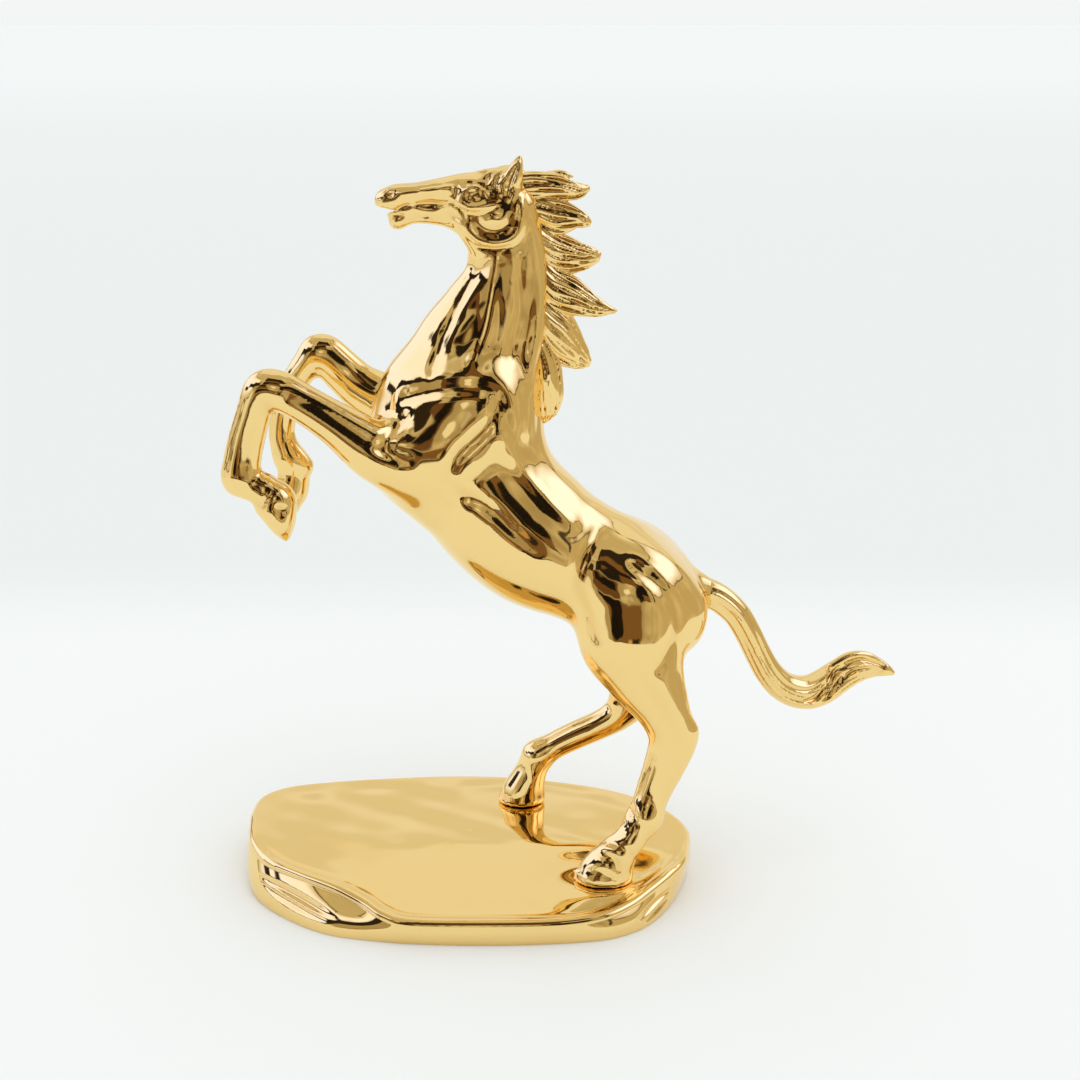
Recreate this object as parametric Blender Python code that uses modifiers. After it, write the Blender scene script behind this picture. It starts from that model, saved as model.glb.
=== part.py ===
"""Rearing horse sculpture on its slab plinth, in metres, +Z up.

The origin is the middle of the plinth's underside. The horse faces -X and turns its left side to -Y.
The horse is one casting, drawn as round sections along each limb; the plinth is a wavy slab of its own,
with a level seat under each of the two hooves that carry the figure.
"""

import math

import bmesh
import bpy
import numpy as np
from mathutils import Matrix, Vector

# Driving dimensions, in metres
FIGURE_HEIGHT = 0.2620  # far hind sole to ear tip
PLINTH_LENGTH = 0.1772
PLINTH_DEPTH = 0.1110
PLINTH_HEIGHT = 0.0180  # at the back, where the far hoof stands
FRONT_DIP = 0.0080  # how far the rim sinks towards the middle of the front edge
NEAR_SEAT_DROP = 0.0040  # how far the near hoof's seat lies under the far hoof's
SEAT_RADIUS = 0.0130  # level under each hoof
SEAT_BLEND = 0.0100  # ring over which a seat runs out into the top
RIM_ROUND = 0.0025  # radius of the rounded rim
BULGE = 0.0010  # how far the edge swells out between foot and rim
FOOT_TUCK = 0.0008  # how far the underside lies inside the foot outline
CLEARANCE = 0.0003  # between a sole and its seat

# The figure is drawn in millimetres at this size, and scaled to FIGURE_HEIGHT
DRAWN_FIGURE_HEIGHT = 262.0
DRAWN_SEAT = 18.0

# Mesh fineness
RING_POINTS = 20
STEPS_BETWEEN_SECTIONS = 4
CAP_RINGS = 3
MUSCLE_GRID = (28, 16)  # segments round and rings along
SCOOP_GRID = (32, 14)
VOXEL = 0.0014
SMOOTH_SHARE = 0.5
SMOOTH_ROUNDS = 3
HORSE_KEPT_SHARE = 0.082
SLAB_SPOKES = 112
EDGE_RINGS = 3
ROUND_RINGS = 3
TOP_RINGS = 26
PLINTH_KEPT_SHARE = 0.22

# Shares of the way from the middle of the plinth out to its rim
SINK_START = 0.15  # where the top begins to sink
RIM_KEPT = 0.12  # ring inside the rim that a seat doesn't change

TURN = 2 * math.pi

# Where the two standing hooves meet the plinth, in millimetres of the drawing
NEAR_HOOF = (53.0, -33.2)
FAR_HOOF = (21.0, 27.0)

# Every form below is a row of sections: x, y, z of the middle, half depth in the limb's plane, half width
TRUNK = {
    "barrel": ((-8, 0, 183, 25, 20), (1, 0, 169.5, 26, 23.5), (12, 0, 152.5, 26.3, 26), (27, 0, 139, 26, 27),
               (43, 0, 129.4, 23.2, 25), (58, 0, 122.4, 21.8, 23), (71, 0, 115, 18, 18)),
    "breast": ((-16, 0, 196, 15, 14), (-14, 0, 180, 19, 18), (-7, 0, 165, 18.5, 18)),
    "neck": ((16, 0, 257, 13, 9), (16, 0, 246, 14, 9.5), (15, 0, 236, 15.5, 10.5), (10, 0, 224, 19, 12.5),
             (4, 0, 211, 23.4, 15.5), (0, 0, 198, 26.4, 18.5), (1, 0, 184, 26.5, 21)),
    "withers": ((20.8, 0, 205, 8, 8), (19.2, 0, 191, 9.6, 11), (19.2, 0, 177, 9.4, 12), (27.5, 0, 162.5, 9.2, 14),
                (38.5, 0, 151.4, 9.2, 14)),
    "croup": ((48, 0, 141, 12.3, 16), (62, 0, 131.2, 15, 18), (75.5, 0, 121, 14.6, 16), (82.5, 0, 115.5, 9.4, 11)),
    "brisket": ((-33, -11, 174, 8.8, 8.5), (-21, -8, 167.4, 13, 11), (-9, -6, 160.6, 14.4, 13)),
    "far brisket": ((-21, 9, 170, 12, 10), (-9, 8, 163, 13, 12)),
}
NEAR_HIND = {
    "thigh": ((62, -15, 118, 21, 15), (62, -18.5, 105, 21, 14), (67, -22, 92, 15.2, 10.5),
              (74.3, -25, 79, 10.2, 7.8), (77.4, -26, 69, 9, 6.4), (75.2, -27, 59, 8, 5.8),
              (70.9, -28.4, 48.2, 6.8, 5.3), (67.6, -30, 38.4, 6.5, 5.5)),
    "hock": ((85.6, -26, 72, 2.4, 2.6), (83.6, -26, 68, 3.4, 3), (79, -26, 62, 4, 3.5)),
    "pastern": ((67, -30.5, 37.6, 6.3, 6), (61.5, -32, 29.8, 6, 5.6), (57, -33, 25, 6.8, 6)),
    "hoof": ((62, -32.4, 30, 5.6, 6), (56.4, -33, 23, 8.4, 7), (53.5, -33.2, 17.2, 10.8, 7.8),
             (52.2, -33.2, 12.2, 11.8, 8.2), (51.5, -33.2, 9.2, 12.2, 8.4)),
}
FAR_HIND = {
    "thigh": ((62, 15, 118, 21, 15), (60.5, 18.5, 104, 18, 13.5), (62, 21, 90, 12, 10), (64, 24, 77, 10, 8),
              (65, 25, 67.4, 9.6, 6.6), (61, 26, 58, 7.4, 5.9), (54, 26.3, 52.8, 6.3, 5.3), (43, 26.7, 47.4, 6.1, 5.1),
              (33.5, 27, 42.3, 5.8, 5.2), (28, 27, 38.2, 5.8, 5.4)),
    "hock": ((75, 25, 65.6, 2.4, 2.6), (72.5, 25, 62.8, 3, 3), (68, 25, 60, 4, 3.5)),
    "pastern": ((26.5, 27, 38, 6.2, 5.8), (24.5, 27, 31, 6.1, 5.7), (23, 27, 27, 6.5, 6.2)),
    "hoof": ((24.8, 27, 33, 5.8, 6), (23, 27, 28, 7.2, 6.9), (21.4, 27, 22.5, 9, 7.7), (20.4, 27, 17, 10, 8.1),
             (19.9, 27, 13, 10.4, 8.3)),
}
NEAR_FORE = {
    "forearm": ((-12, -13.5, 172, 16, 10.5), (-21, -15.5, 173.8, 14.4, 10), (-32, -18, 178, 11.2, 9),
                (-44, -19.5, 187, 8.3, 7), (-56, -20, 195, 7.2, 6.2), (-65.5, -20, 200.3, 7.4, 6.6),
                (-71.2, -20, 200.3, 6.4, 6.2), (-74.8, -20, 191, 6.1, 5.6), (-78, -20, 180, 6.1, 5.3),
                (-80.2, -20, 169.5, 6.7, 5.6)),
    "pastern": ((-80.4, -20, 167.6, 6.7, 5.4), (-75, -20, 164.2, 5.8, 5), (-70, -20, 162, 5.4, 5)),
    "hoof": ((-71.5, -20, 164, 5.8, 5.8), (-67.8, -20, 159.3, 8.6, 6.8), (-65.8, -20, 154, 7.1, 7),
             (-64.6, -20, 148.5, 4.4, 6), (-64.2, -20, 145.8, 2, 3)),
}
FAR_FORE = {
    "forearm": ((-16, 15, 182, 13, 10), (-28, 17.5, 187, 11, 8.5), (-39.5, 19, 192.8, 9.1, 7),
                (-47, 20, 199.6, 8.4, 6.3), (-54.5, 20, 205.8, 8.2, 6.2), (-60, 20, 203.3, 6.2, 6),
                (-65.4, 20, 195, 5.9, 5.3), (-69.2, 20, 184, 5.4, 4.8), (-70.6, 20, 174, 5.3, 4.9),
                (-68.6, 20, 166, 5.8, 5.2)),
    "fetlock": ((-68, 20, 165, 5.2, 5.2), (-62.6, 20, 162, 4.4, 4.4)),
    "hoof": ((-67.5, 20, 164, 5.2, 5), (-69.5, 20, 156, 5.4, 5.4), (-71, 20, 151, 6.4, 6.6), (-72, 20, 146.5, 5, 5.6)),
}
HEAD = {
    "skull": ((-27.8, 0, 265.4, 4, 5.2), (-23, 0, 266, 4.9, 5.4), (-15, 0, 265.8, 5.6, 5.2),
              (-7, 0, 266.4, 6.5, 6), (2, 0, 266, 8.9, 8.6), (10, 0, 264.5, 10.4, 9), (16, 0, 262.5, 10.8, 8.5)),
    "upper lip": ((-28.2, 0, 264.2, 2.8, 4.4), (-25, 0, 263, 2.6, 4)),
    "jaw": ((-22.8, 0, 257.4, 4, 4), (-15, 0, 259.4, 3.2, 3.8), (-5, 0, 258.6, 3.8, 4.3), (4, 0, 255.4, 5.4, 5)),
    "forelock": ((20, 0, 273.2, 3.4, 3.5), (15.5, 0, 274.6, 2.5, 3.2), (10.5, 0, 273.2, 1.6, 2.5)),
}
EAR = ((17.5, 5.5, 269.5, 3.4, 2.3), (19, 6.4, 273.4, 3.1, 2.1), (20.2, 6.9, 277, 2.1, 1.6),
       (20.9, 7, 279.8, 1.2, 1.1))
MANE = {
    "crest": ((22, 0, 269, 5, 4.2), (27, 0, 262, 8.6, 4.4), (30.5, 0, 250, 9.7, 4.4), (32.5, 0, 238, 8.9, 4.6),
              (32.5, 0, 225, 8.3, 5), (29.5, 0, 210, 9, 5.6), (28, 0, 198, 8.2, 6), (27.4, 0, 189, 5.4, 4.8)),
    "first lock": ((22, 0.5, 270, 4.8, 3.4), (31, 1.5, 269.8, 5, 3.2), (38, 2, 269, 4.7, 2.8),
                   (43, 2, 267.6, 2.8, 1.8), (44.8, 2, 267.2, 1.5, 1.2)),
    "second lock": ((24, -0.5, 263, 5, 3.4), (32, -1.5, 260, 5.8, 3.4), (38.5, -2, 258.4, 5.4, 2.8),
                    (43.4, -2, 257.3, 3.4, 2), (45.2, -2, 256.9, 1.9, 1.4)),
    "third lock": ((27, 0, 256, 6, 3.8), (34, 1.2, 248.8, 6.5, 3.6), (41, 2, 245, 5.6, 3),
                   (46.5, 2, 243.9, 4, 2.2), (49.4, 2, 243.8, 2.1, 1.5)),
    "fourth lock": ((30, -0.5, 243, 7.4, 4), (36, -1.5, 234, 7.6, 3.8), (43, -2.2, 229, 6, 3),
                    (49.5, -2.2, 226.8, 4, 2.1), (54.6, -2.2, 225.6, 1.9, 1.5)),
    "fifth lock": ((30, 0, 229, 7.4, 4.4), (35, 1.3, 219, 7, 4), (40.2, 2.2, 211.2, 5.6, 3.3),
                   (43.6, 2.2, 206.2, 4.1, 2.5), (44.8, 2.2, 203.8, 2.1, 1.7)),
    "sixth lock": ((28, -0.5, 212, 7.4, 5), (30.8, -1.5, 202, 6.2, 4.6), (31.6, -2, 193.6, 5, 3.8),
                   (30.6, -2, 187.6, 3.4, 2.6), (29.6, -2, 184.4, 2, 1.7)),
}
TAIL = ((84, 0, 120.5, 7, 6), (92.5, 0, 117.4, 6.2, 5.4), (98, 0, 114.4, 5.3, 5.1), (103.4, 0, 109.2, 5.1, 5.1),
        (107.6, 0, 101.6, 5.1, 5.1), (111.6, 1, 93.3, 5.3, 5.3), (116, 2, 85.2, 5.7, 5.8),
        (121.6, 4, 78.8, 6.3, 6.3), (127.8, 6, 75, 6.9, 6.8), (133.7, 8, 74.3, 7.2, 6.8), (139.2, 10, 76.4, 7, 6.4),
        (144.5, 12, 79.4, 6.6, 5.8), (149.5, 13, 81.6, 6.1, 4.9), (155, 14, 82.3, 5.6, 4), (160.2, 15, 81.7, 4.6, 3),
        (164.4, 15, 80.9, 3.1, 2.1), (168.2, 15, 80.3, 1.4, 1.3))

# Muscle masses: x, y, z of the middle, three half lengths, pitch in degrees, set on both sides
MUSCLES = {
    "shoulder": ((3, 12.5, 187), (20, 10.5, 23), -25),
    "upper arm": ((-9, 14.5, 176), (17, 10.5, 14), -30),
    "hip": ((62, 13.5, 120), (26, 14.5, 20.5), -35),
    "buttock": ((77.5, 11.5, 111.5), (12.4, 11, 14.6), 10),
    "cheek": ((11, 4.6, 257.6), (12.6, 5, 12.8), 0),
}

# The plinth's rim seen from above, as x, y and the share of FRONT_DIP by which it has sunk there
RIM = ((87.2, -8, 0.1), (84.6, -22, 0.12), (78.8, -31, 0.17), (70, -39, 0.45), (61, -47, 0.75), (50, -53.5, 0.94),
       (34, -57.5, 1), (8, -58.5, 1), (-20, -57.5, 1), (-31, -54, 0.84), (-39, -48, 0.58), (-50, -41.5, 0.27),
       (-65, -33, 0.11), (-78, -23, 0.05), (-86.4, -8, 0), (-89.2, 8, 0), (-90, 21, 0), (-87.5, 33, 0),
       (-78, 41.5, 0), (-60, 46.5, 0), (-38, 50, 0), (-13, 52.5, 0), (11, 52, 0), (30, 48.5, 0), (54, 40.4, 0),
       (70.5, 30, 0), (81.6, 17.4, 0), (87.4, 4, 0.05))
# The same slab where it meets the table
FOOT = ((87, 3), (84.5, -11.5), (78.8, -28), (69, -43.6), (57.6, -52.2), (43.6, -55.6), (20, -57.4), (-5, -57.4),
        (-24, -56), (-46, -52.6), (-58, -47.5), (-70.8, -37.8), (-80.6, -26.5), (-85.5, -15), (-87.6, 0),
        (-87, 18), (-84, 30.5), (-75, 38.5), (-58, 43.5), (-36, 47), (-13, 49.5), (11, 49), (29, 45.5), (53, 37.4),
        (68, 27.6), (79, 15.4))
# Two hollows scooped from the slab's front edge: x, y, z of the middle, half lengths, heading in degrees
SCOOPS = (((-64.5, -41.5, 8.2), (23, 3.4, 3.8), -36.5), ((73.5, -39.5, 7), (13, 3.2, 3.6), 49))
DRAWN_LENGTH = 177.2
DRAWN_DEPTH = 111.0
DRAWN_PLINTH_HEIGHT = 18.0

GOLD = (0.90, 0.66, 0.26, 1.0)
GOLD_ROUGHNESS = 0.08


def clear_scene():
    """Remove whatever the scene holds."""
    for item in list(bpy.data.objects):
        bpy.data.objects.remove(item, do_unlink=True)


def new_collection(name):
    """Return a fresh collection linked to the scene."""
    collection = bpy.data.collections.new(name)
    bpy.context.scene.collection.children.link(collection)
    return collection


def metal(name):
    """Return a polished gold material of its own for one object."""
    material = bpy.data.materials.new(name)
    material.use_nodes = True
    shader = material.node_tree.nodes["Principled BSDF"]
    shader.inputs["Base Color"].default_value = GOLD
    shader.inputs["Metallic"].default_value = 1.0
    shader.inputs["Roughness"].default_value = GOLD_ROUGHNESS
    return material


def add_object(name, mesh, collection):
    """Link a new object that holds the mesh."""
    thing = bpy.data.objects.new(name, mesh)
    collection.objects.link(thing)
    return thing


def smooth_rows(rows, closed=False):
    """Return the rows with STEPS_BETWEEN_SECTIONS points of a Catmull-Rom curve between each two."""
    points = np.asarray(rows, dtype=float)
    if closed:
        padded = np.vstack([points[-1:], points, points[:2]])
    else:
        padded = np.vstack([2 * points[0] - points[1], points, 2 * points[-1] - points[-2]])
    share = (np.arange(STEPS_BETWEEN_SECTIONS) / STEPS_BETWEEN_SECTIONS)[:, None]
    curve = []
    for before, start, end, after in zip(padded, padded[1:], padded[2:], padded[3:]):
        slope = end - before
        bend = 2 * before - 5 * start + 4 * end - after
        twist = 3 * start - before - 3 * end + after
        curve.append(0.5 * (2 * start + slope * share + bend * share**2 + twist * share**3))
    if not closed:
        curve.append(points[-1:])
    return np.vstack(curve)


def place(drawn):
    """Turn x, y, z in millimetres of the drawing into metres in the plinth's frame."""
    scale = FIGURE_HEIGHT / DRAWN_FIGURE_HEIGHT
    x, y, z = drawn
    return Vector((x * scale, y * scale, (z - DRAWN_SEAT) * scale + PLINTH_HEIGHT + CLEARANCE))


def loft(mesh, rows):
    """Add one closed tube through the sections, with a rounded cap on each end."""
    sections = smooth_rows(rows)
    scale = FIGURE_HEIGHT / DRAWN_FIGURE_HEIGHT
    middles = [place(section[:3]) for section in sections]
    sides = Vector((0.0, 1.0, 0.0))
    steps = [(i, 0.0) for i in range(len(sections))]
    last = len(sections) - 1
    quarter = [math.pi / 2 * (i + 1) / CAP_RINGS for i in range(CAP_RINGS - 1)]
    steps = [(0, -angle) for angle in reversed(quarter)] + steps + [(last, angle) for angle in quarter]
    rings = []
    for index, angle in steps:
        ahead = middles[min(index + 1, last)] - middles[max(index - 1, 0)]
        ahead.normalize()
        across = (sides - ahead * sides.dot(ahead)).normalized()
        deep = across.cross(ahead)
        half_depth = sections[index][3] * scale * math.cos(angle)
        half_width = sections[index][4] * scale * math.cos(angle)
        reach = min(sections[index][3], sections[index][4]) * scale * math.sin(angle)
        middle = middles[index] + ahead * reach
        ring = []
        for corner in range(RING_POINTS):
            turn = TURN * corner / RING_POINTS
            offset = deep * (half_depth * math.cos(turn)) + across * (half_width * math.sin(turn))
            ring.append(mesh.verts.new(middle + offset))
        rings.append(ring)
    for lower, upper in zip(rings, rings[1:]):
        for corner in range(RING_POINTS):
            following = (corner + 1) % RING_POINTS
            mesh.faces.new((lower[corner], lower[following], upper[following], upper[corner]))
    mesh.faces.new(list(reversed(rings[0])))
    mesh.faces.new(rings[-1])


def muscle(mesh, middle, halves, pitch, side):
    """Add an ellipsoid on one side of the body, pitched about the axis across it."""
    scale = FIGURE_HEIGHT / DRAWN_FIGURE_HEIGHT
    x, y, z = middle
    turn = Matrix.Rotation(math.radians(-pitch), 4, "Y")
    size = Matrix.Diagonal((halves[0] * scale, halves[1] * scale, halves[2] * scale, 1.0))
    matrix = Matrix.Translation(place((x, y * side, z))) @ turn @ size
    segments, levels = MUSCLE_GRID
    bmesh.ops.create_uvsphere(mesh, u_segments=segments, v_segments=levels, radius=1.0, matrix=matrix)


def seat_height(hoof):
    """Return how high the seat under one of the two hooves lies."""
    if hoof == NEAR_HOOF:
        return PLINTH_HEIGHT - NEAR_SEAT_DROP
    return PLINTH_HEIGHT


def seat_middle(hoof):
    """Return x and y of the middle of a hoof's seat, in metres."""
    scale = FIGURE_HEIGHT / DRAWN_FIGURE_HEIGHT
    return hoof[0] * scale, hoof[1] * scale


def add_cutter(name, block, collection):
    """Add a hidden object that only cuts, and return it."""
    mesh = bpy.data.meshes.new(name)
    block.to_mesh(mesh)
    block.free()
    cutter = add_object(name, mesh, collection)
    cutter.hide_render = True
    cutter.display_type = "WIRE"
    return cutter


def sole_cutter(name, hoof, collection):
    """Add a block whose top face trims one hoof flat, just above its seat."""
    side = 2 * (SEAT_RADIUS + SEAT_BLEND)
    block = bmesh.new()
    bmesh.ops.create_cube(block, size=1.0, matrix=Matrix.Diagonal((side, side, PLINTH_HEIGHT, 1.0)))
    cutter = add_cutter(name, block, collection)
    x, y = seat_middle(hoof)
    cutter.location = (x, y, seat_height(hoof) + CLEARANCE - PLINTH_HEIGHT / 2)
    return cutter


def scoop_cutter(name, middle, halves, heading, collection):
    """Add a long ellipsoid that hollows one stretch of the slab's edge."""
    along = PLINTH_LENGTH / DRAWN_LENGTH
    out = PLINTH_DEPTH / DRAWN_DEPTH
    up = PLINTH_HEIGHT / DRAWN_PLINTH_HEIGHT
    place_it = Matrix.Translation((middle[0] * along, middle[1] * out, middle[2] * up))
    turn = Matrix.Rotation(math.radians(heading), 4, "Z")
    size = Matrix.Diagonal((halves[0] * along, halves[1] * out, halves[2] * up, 1.0))
    segments, levels = SCOOP_GRID
    block = bmesh.new()
    bmesh.ops.create_uvsphere(block, u_segments=segments, v_segments=levels, radius=1.0,
                              matrix=place_it @ turn @ size)
    return add_cutter(name, block, collection)


def cut(thing, cutter):
    """Take the cutter's shape away from the object."""
    trim = thing.modifiers.new(cutter.name, "BOOLEAN")
    trim.operation = "DIFFERENCE"
    trim.object = cutter


def reduce_faces(thing, kept_share):
    """Merge faces where the surface bends least, down to a share of them."""
    fewer = thing.modifiers.new("Fewer faces", "DECIMATE")
    fewer.ratio = kept_share
    fewer.use_collapse_triangulate = True


def build_horse(parts, cutters):
    """Model the whole figure as one casting."""
    shape = bmesh.new()
    for forms in (TRUNK, NEAR_HIND, FAR_HIND, NEAR_FORE, FAR_FORE, HEAD, MANE):
        for rows in forms.values():
            loft(shape, rows)
    loft(shape, TAIL)
    for side in (-1, 1):
        loft(shape, [(x, y * side, z, deep, wide) for x, y, z, deep, wide in EAR])
        for middle, halves, pitch in MUSCLES.values():
            muscle(shape, middle, halves, pitch, side)
    mesh = bpy.data.meshes.new("horse")
    shape.to_mesh(mesh)
    shape.free()
    horse = add_object("horse", mesh, parts)
    horse.data.materials.append(metal("horse gold"))

    cast = horse.modifiers.new("Cast in one", "REMESH")
    cast.mode = "VOXEL"
    cast.voxel_size = VOXEL
    soften = horse.modifiers.new("Soften joins", "SMOOTH")
    soften.factor = SMOOTH_SHARE
    soften.iterations = SMOOTH_ROUNDS
    reduce_faces(horse, HORSE_KEPT_SHARE)
    for name, hoof in (("near sole", NEAR_HOOF), ("far sole", FAR_HOOF)):
        cut(horse, sole_cutter(name, hoof, cutters))
    return horse


def eased(value):
    """Return shares from 0 to 1 that start and end level."""
    share = np.clip(value, 0.0, 1.0)
    return share * share * (3 - 2 * share)


def top_height(x, y, reach, rim_height):
    """Return the height of the plinth's top at places a share of the way out to the rim.

    The top sinks towards the rim by an eased share, and runs level over both seats.
    """
    sunk = eased((reach - SINK_START) / (1 - SINK_START))
    height = PLINTH_HEIGHT * (1 - sunk) + rim_height * sunk
    for hoof in (NEAR_HOOF, FAR_HOOF):
        middle = seat_middle(hoof)
        away = np.hypot(x - middle[0], y - middle[1])
        level = eased((SEAT_RADIUS + SEAT_BLEND - away) / SEAT_BLEND) * eased((1 - reach) / RIM_KEPT)
        height = height * (1 - level) + seat_height(hoof) * level
    return height


def read_outline(points, column, spokes):
    """Return one column of a closed outline where each spoke crosses it."""
    angles = np.mod(np.arctan2(points[:, 1], points[:, 0]), TURN)
    order = np.argsort(angles)
    return np.interp(spokes, angles[order], column[order], period=TURN)


def slab_rings(spokes):
    """Return the slab's rings as radius and height, from the underside up the edge and in over the top."""
    size = (PLINTH_LENGTH / DRAWN_LENGTH, PLINTH_DEPTH / DRAWN_DEPTH)
    rim = smooth_rows(RIM, closed=True)
    rim[:, :2] *= size
    foot = smooth_rows(FOOT, closed=True)
    foot *= size
    rim_radius = read_outline(rim, np.hypot(rim[:, 0], rim[:, 1]), spokes)
    foot_radius = read_outline(foot, np.hypot(foot[:, 0], foot[:, 1]), spokes)
    rim_height = PLINTH_HEIGHT - FRONT_DIP * read_outline(rim, rim[:, 2], spokes)

    rings = [(foot_radius - FOOT_TUCK, np.zeros(SLAB_SPOKES))]
    for step in range(EDGE_RINGS):
        share = (step + 1) / (EDGE_RINGS + 1)
        radius = foot_radius * (1 - share) + rim_radius * share + BULGE * math.sin(math.pi * share)
        rings.append((radius, share * (rim_height - RIM_ROUND)))
    for step in range(ROUND_RINGS):
        bend = math.pi / 2 * step / ROUND_RINGS
        inset = RIM_ROUND * (1 - math.cos(bend))
        rings.append((rim_radius - inset, rim_height - RIM_ROUND * (1 - math.sin(bend))))
    for step in range(TOP_RINGS):
        reach = 1 - step / TOP_RINGS
        radius = (rim_radius - RIM_ROUND) * reach
        x, y = radius * np.cos(spokes), radius * np.sin(spokes)
        rings.append((radius, top_height(x, y, reach, rim_height)))
    return rings


def build_plinth(parts, cutters):
    """Model the slab as rings of points, bridged, with two hollows scooped from its front edge."""
    spokes = TURN * np.arange(SLAB_SPOKES) / SLAB_SPOKES
    shape = bmesh.new()
    rings = []
    for radius, height in slab_rings(spokes):
        corners = np.column_stack((radius * np.cos(spokes), radius * np.sin(spokes), height))
        rings.append([shape.verts.new(corner) for corner in corners])
    for lower, upper in zip(rings, rings[1:]):
        for spoke in range(SLAB_SPOKES):
            following = (spoke + 1) % SLAB_SPOKES
            shape.faces.new((lower[spoke], lower[following], upper[following], upper[spoke]))
    middle = shape.verts.new((0.0, 0.0, PLINTH_HEIGHT))
    for spoke in range(SLAB_SPOKES):
        shape.faces.new((rings[-1][spoke], rings[-1][(spoke + 1) % SLAB_SPOKES], middle))
    shape.faces.new(list(reversed(rings[0])))
    mesh = bpy.data.meshes.new("plinth")
    shape.to_mesh(mesh)
    shape.free()
    plinth = add_object("plinth", mesh, parts)
    plinth.data.materials.append(metal("plinth gold"))
    reduce_faces(plinth, PLINTH_KEPT_SHARE)
    for number, (middle, halves, heading) in enumerate(SCOOPS):
        cut(plinth, scoop_cutter(f"scoop {number + 1}", middle, halves, heading, cutters))
    return plinth


def main():
    """Build the horse and its plinth in a clean scene."""
    clear_scene()
    parts = new_collection("rearing horse sculpture")
    cutters = new_collection("cutters")
    build_horse(parts, cutters)
    build_plinth(parts, cutters)


main()
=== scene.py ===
"""Rearing horse sculpture in mirror-finished gold: the dressed figure and slab, their studio and the camera.

The tables give millimetres in the sculpture's own frame: X runs from the nose to the tail, Y from the side
that the camera sees to the far side, and Z up from the table.
"""

import logging
import math
from collections.abc import Iterable
from dataclasses import dataclass, field
from enum import Enum

import bpy
import numpy as np
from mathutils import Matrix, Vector


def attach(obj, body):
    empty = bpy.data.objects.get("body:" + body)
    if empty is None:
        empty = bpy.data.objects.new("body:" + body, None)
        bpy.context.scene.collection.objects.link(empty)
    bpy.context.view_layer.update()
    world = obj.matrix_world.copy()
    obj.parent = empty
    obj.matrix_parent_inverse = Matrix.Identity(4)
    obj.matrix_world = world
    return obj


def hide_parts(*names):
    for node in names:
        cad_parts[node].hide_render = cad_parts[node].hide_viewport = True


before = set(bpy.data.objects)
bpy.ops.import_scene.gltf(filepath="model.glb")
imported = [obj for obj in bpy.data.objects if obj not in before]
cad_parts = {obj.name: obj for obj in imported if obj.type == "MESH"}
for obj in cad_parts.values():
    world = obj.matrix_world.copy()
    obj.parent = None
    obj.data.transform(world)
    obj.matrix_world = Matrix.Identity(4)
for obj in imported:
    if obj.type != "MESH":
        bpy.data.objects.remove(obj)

LOG = logging.getLogger("rearing horse")

MILLIMETRE = 0.001
SOLE_CLEARANCE = 0.3  # mm between a sole and its seat; the tables draw the figure on the slab itself
FAR_AWAY = 1.0e3
MARGIN = 2.5  # mm that a form is measured beyond its blend
# The crease attribute drives both a rougher polish and a darker gold painted into creases as shade.
CREASE = "hollow"  # the attribute that says how deep in a crease a point lies
CREASE_DEPTH = 0.12  # mm that the neighbours' mean stands out where the crease is full

Row = tuple[float, ...]
Rows = tuple[Row, ...]
Grid = tuple[Rows, Rows, Rows]
Window = tuple[slice, ...]
Source = bpy.types.NodeSocket | float | Row

# Where each hind hoof stands: the middle of its sole, and the slab's height under it.
SEATS: tuple[tuple[Row, float], ...] = (((53.0, -33.2), 14.0), ((21.0, 27.0), 18.0))


class Side(Enum):
    """Which side of the figure a form lies on."""

    NEAR = -1
    FAR = 1


class Slot(Enum):
    """The record's material slots."""

    FIGURE = "gold"
    SLAB = "plinth_gold"


def smooth_rows(rows: Rows, steps: int, closed: bool = False) -> np.ndarray:
    """Carry a Catmull-Rom curve through rows of numbers.

    Between two rows the curve is the cubic whose slope at each row is half the step between its neighbours.

    Args:
        rows: The rows that the curve passes.
        steps: Points from one row to the next.
        closed: Whether the last row runs on to the first.

    Returns:
        The curve's points, one a row.
    """
    points = np.asarray(rows, dtype=float)
    if closed:
        padded = np.vstack([points[-1:], points, points[:2]])
    else:
        padded = np.vstack([2 * points[0] - points[1], points, 2 * points[-1] - points[-2]])
    share = (np.arange(steps) / steps)[:, None]
    pieces = []
    for before, start, end, after in zip(padded, padded[1:], padded[2:], padded[3:]):
        slope = end - before
        bend = 2 * before - 5 * start + 4 * end - after
        twist = 3 * start - before - 3 * end + after
        pieces.append(0.5 * (2 * start + slope * share + bend * share**2 + twist * share**3))
    if not closed:
        pieces.append(points[-1:])
    return np.vstack(pieces)


def eased(value: np.ndarray) -> np.ndarray:
    """Return shares clipped to 0 and 1 that start and end level: 3s² - 2s³."""
    share = np.clip(value, 0.0, 1.0)
    return share * share * (3 - 2 * share)


def soft_least(first: np.ndarray, second: np.ndarray, blend: float) -> np.ndarray:
    """Return the smaller of two fields, less a quarter of the blend where they meet: a filleted join."""
    near = np.maximum(blend - np.abs(first - second), 0.0) / blend
    return np.minimum(first, second) - near * near * (0.25 * blend)


def turned(pitch: float, heading: float, roll: float) -> np.ndarray:
    """Work out a turned form's own axes: rolled about X, then pitched about Y, then headed about Z.

    Args:
        pitch: Degrees about Y.
        heading: Degrees about Z.
        roll: Degrees about X.

    Returns:
        The three axes, one a row.
    """
    p, h, r = np.radians([pitch, heading, roll])
    about_y = np.array([[np.cos(p), 0, -np.sin(p)], [0, 1, 0], [np.sin(p), 0, np.cos(p)]])
    about_z = np.array([[np.cos(h), -np.sin(h), 0], [np.sin(h), np.cos(h), 0], [0, 0, 1]])
    about_x = np.array([[1, 0, 0], [0, np.cos(r), -np.sin(r)], [0, np.sin(r), np.cos(r)]])
    return (about_z @ about_y @ about_x).T


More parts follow.
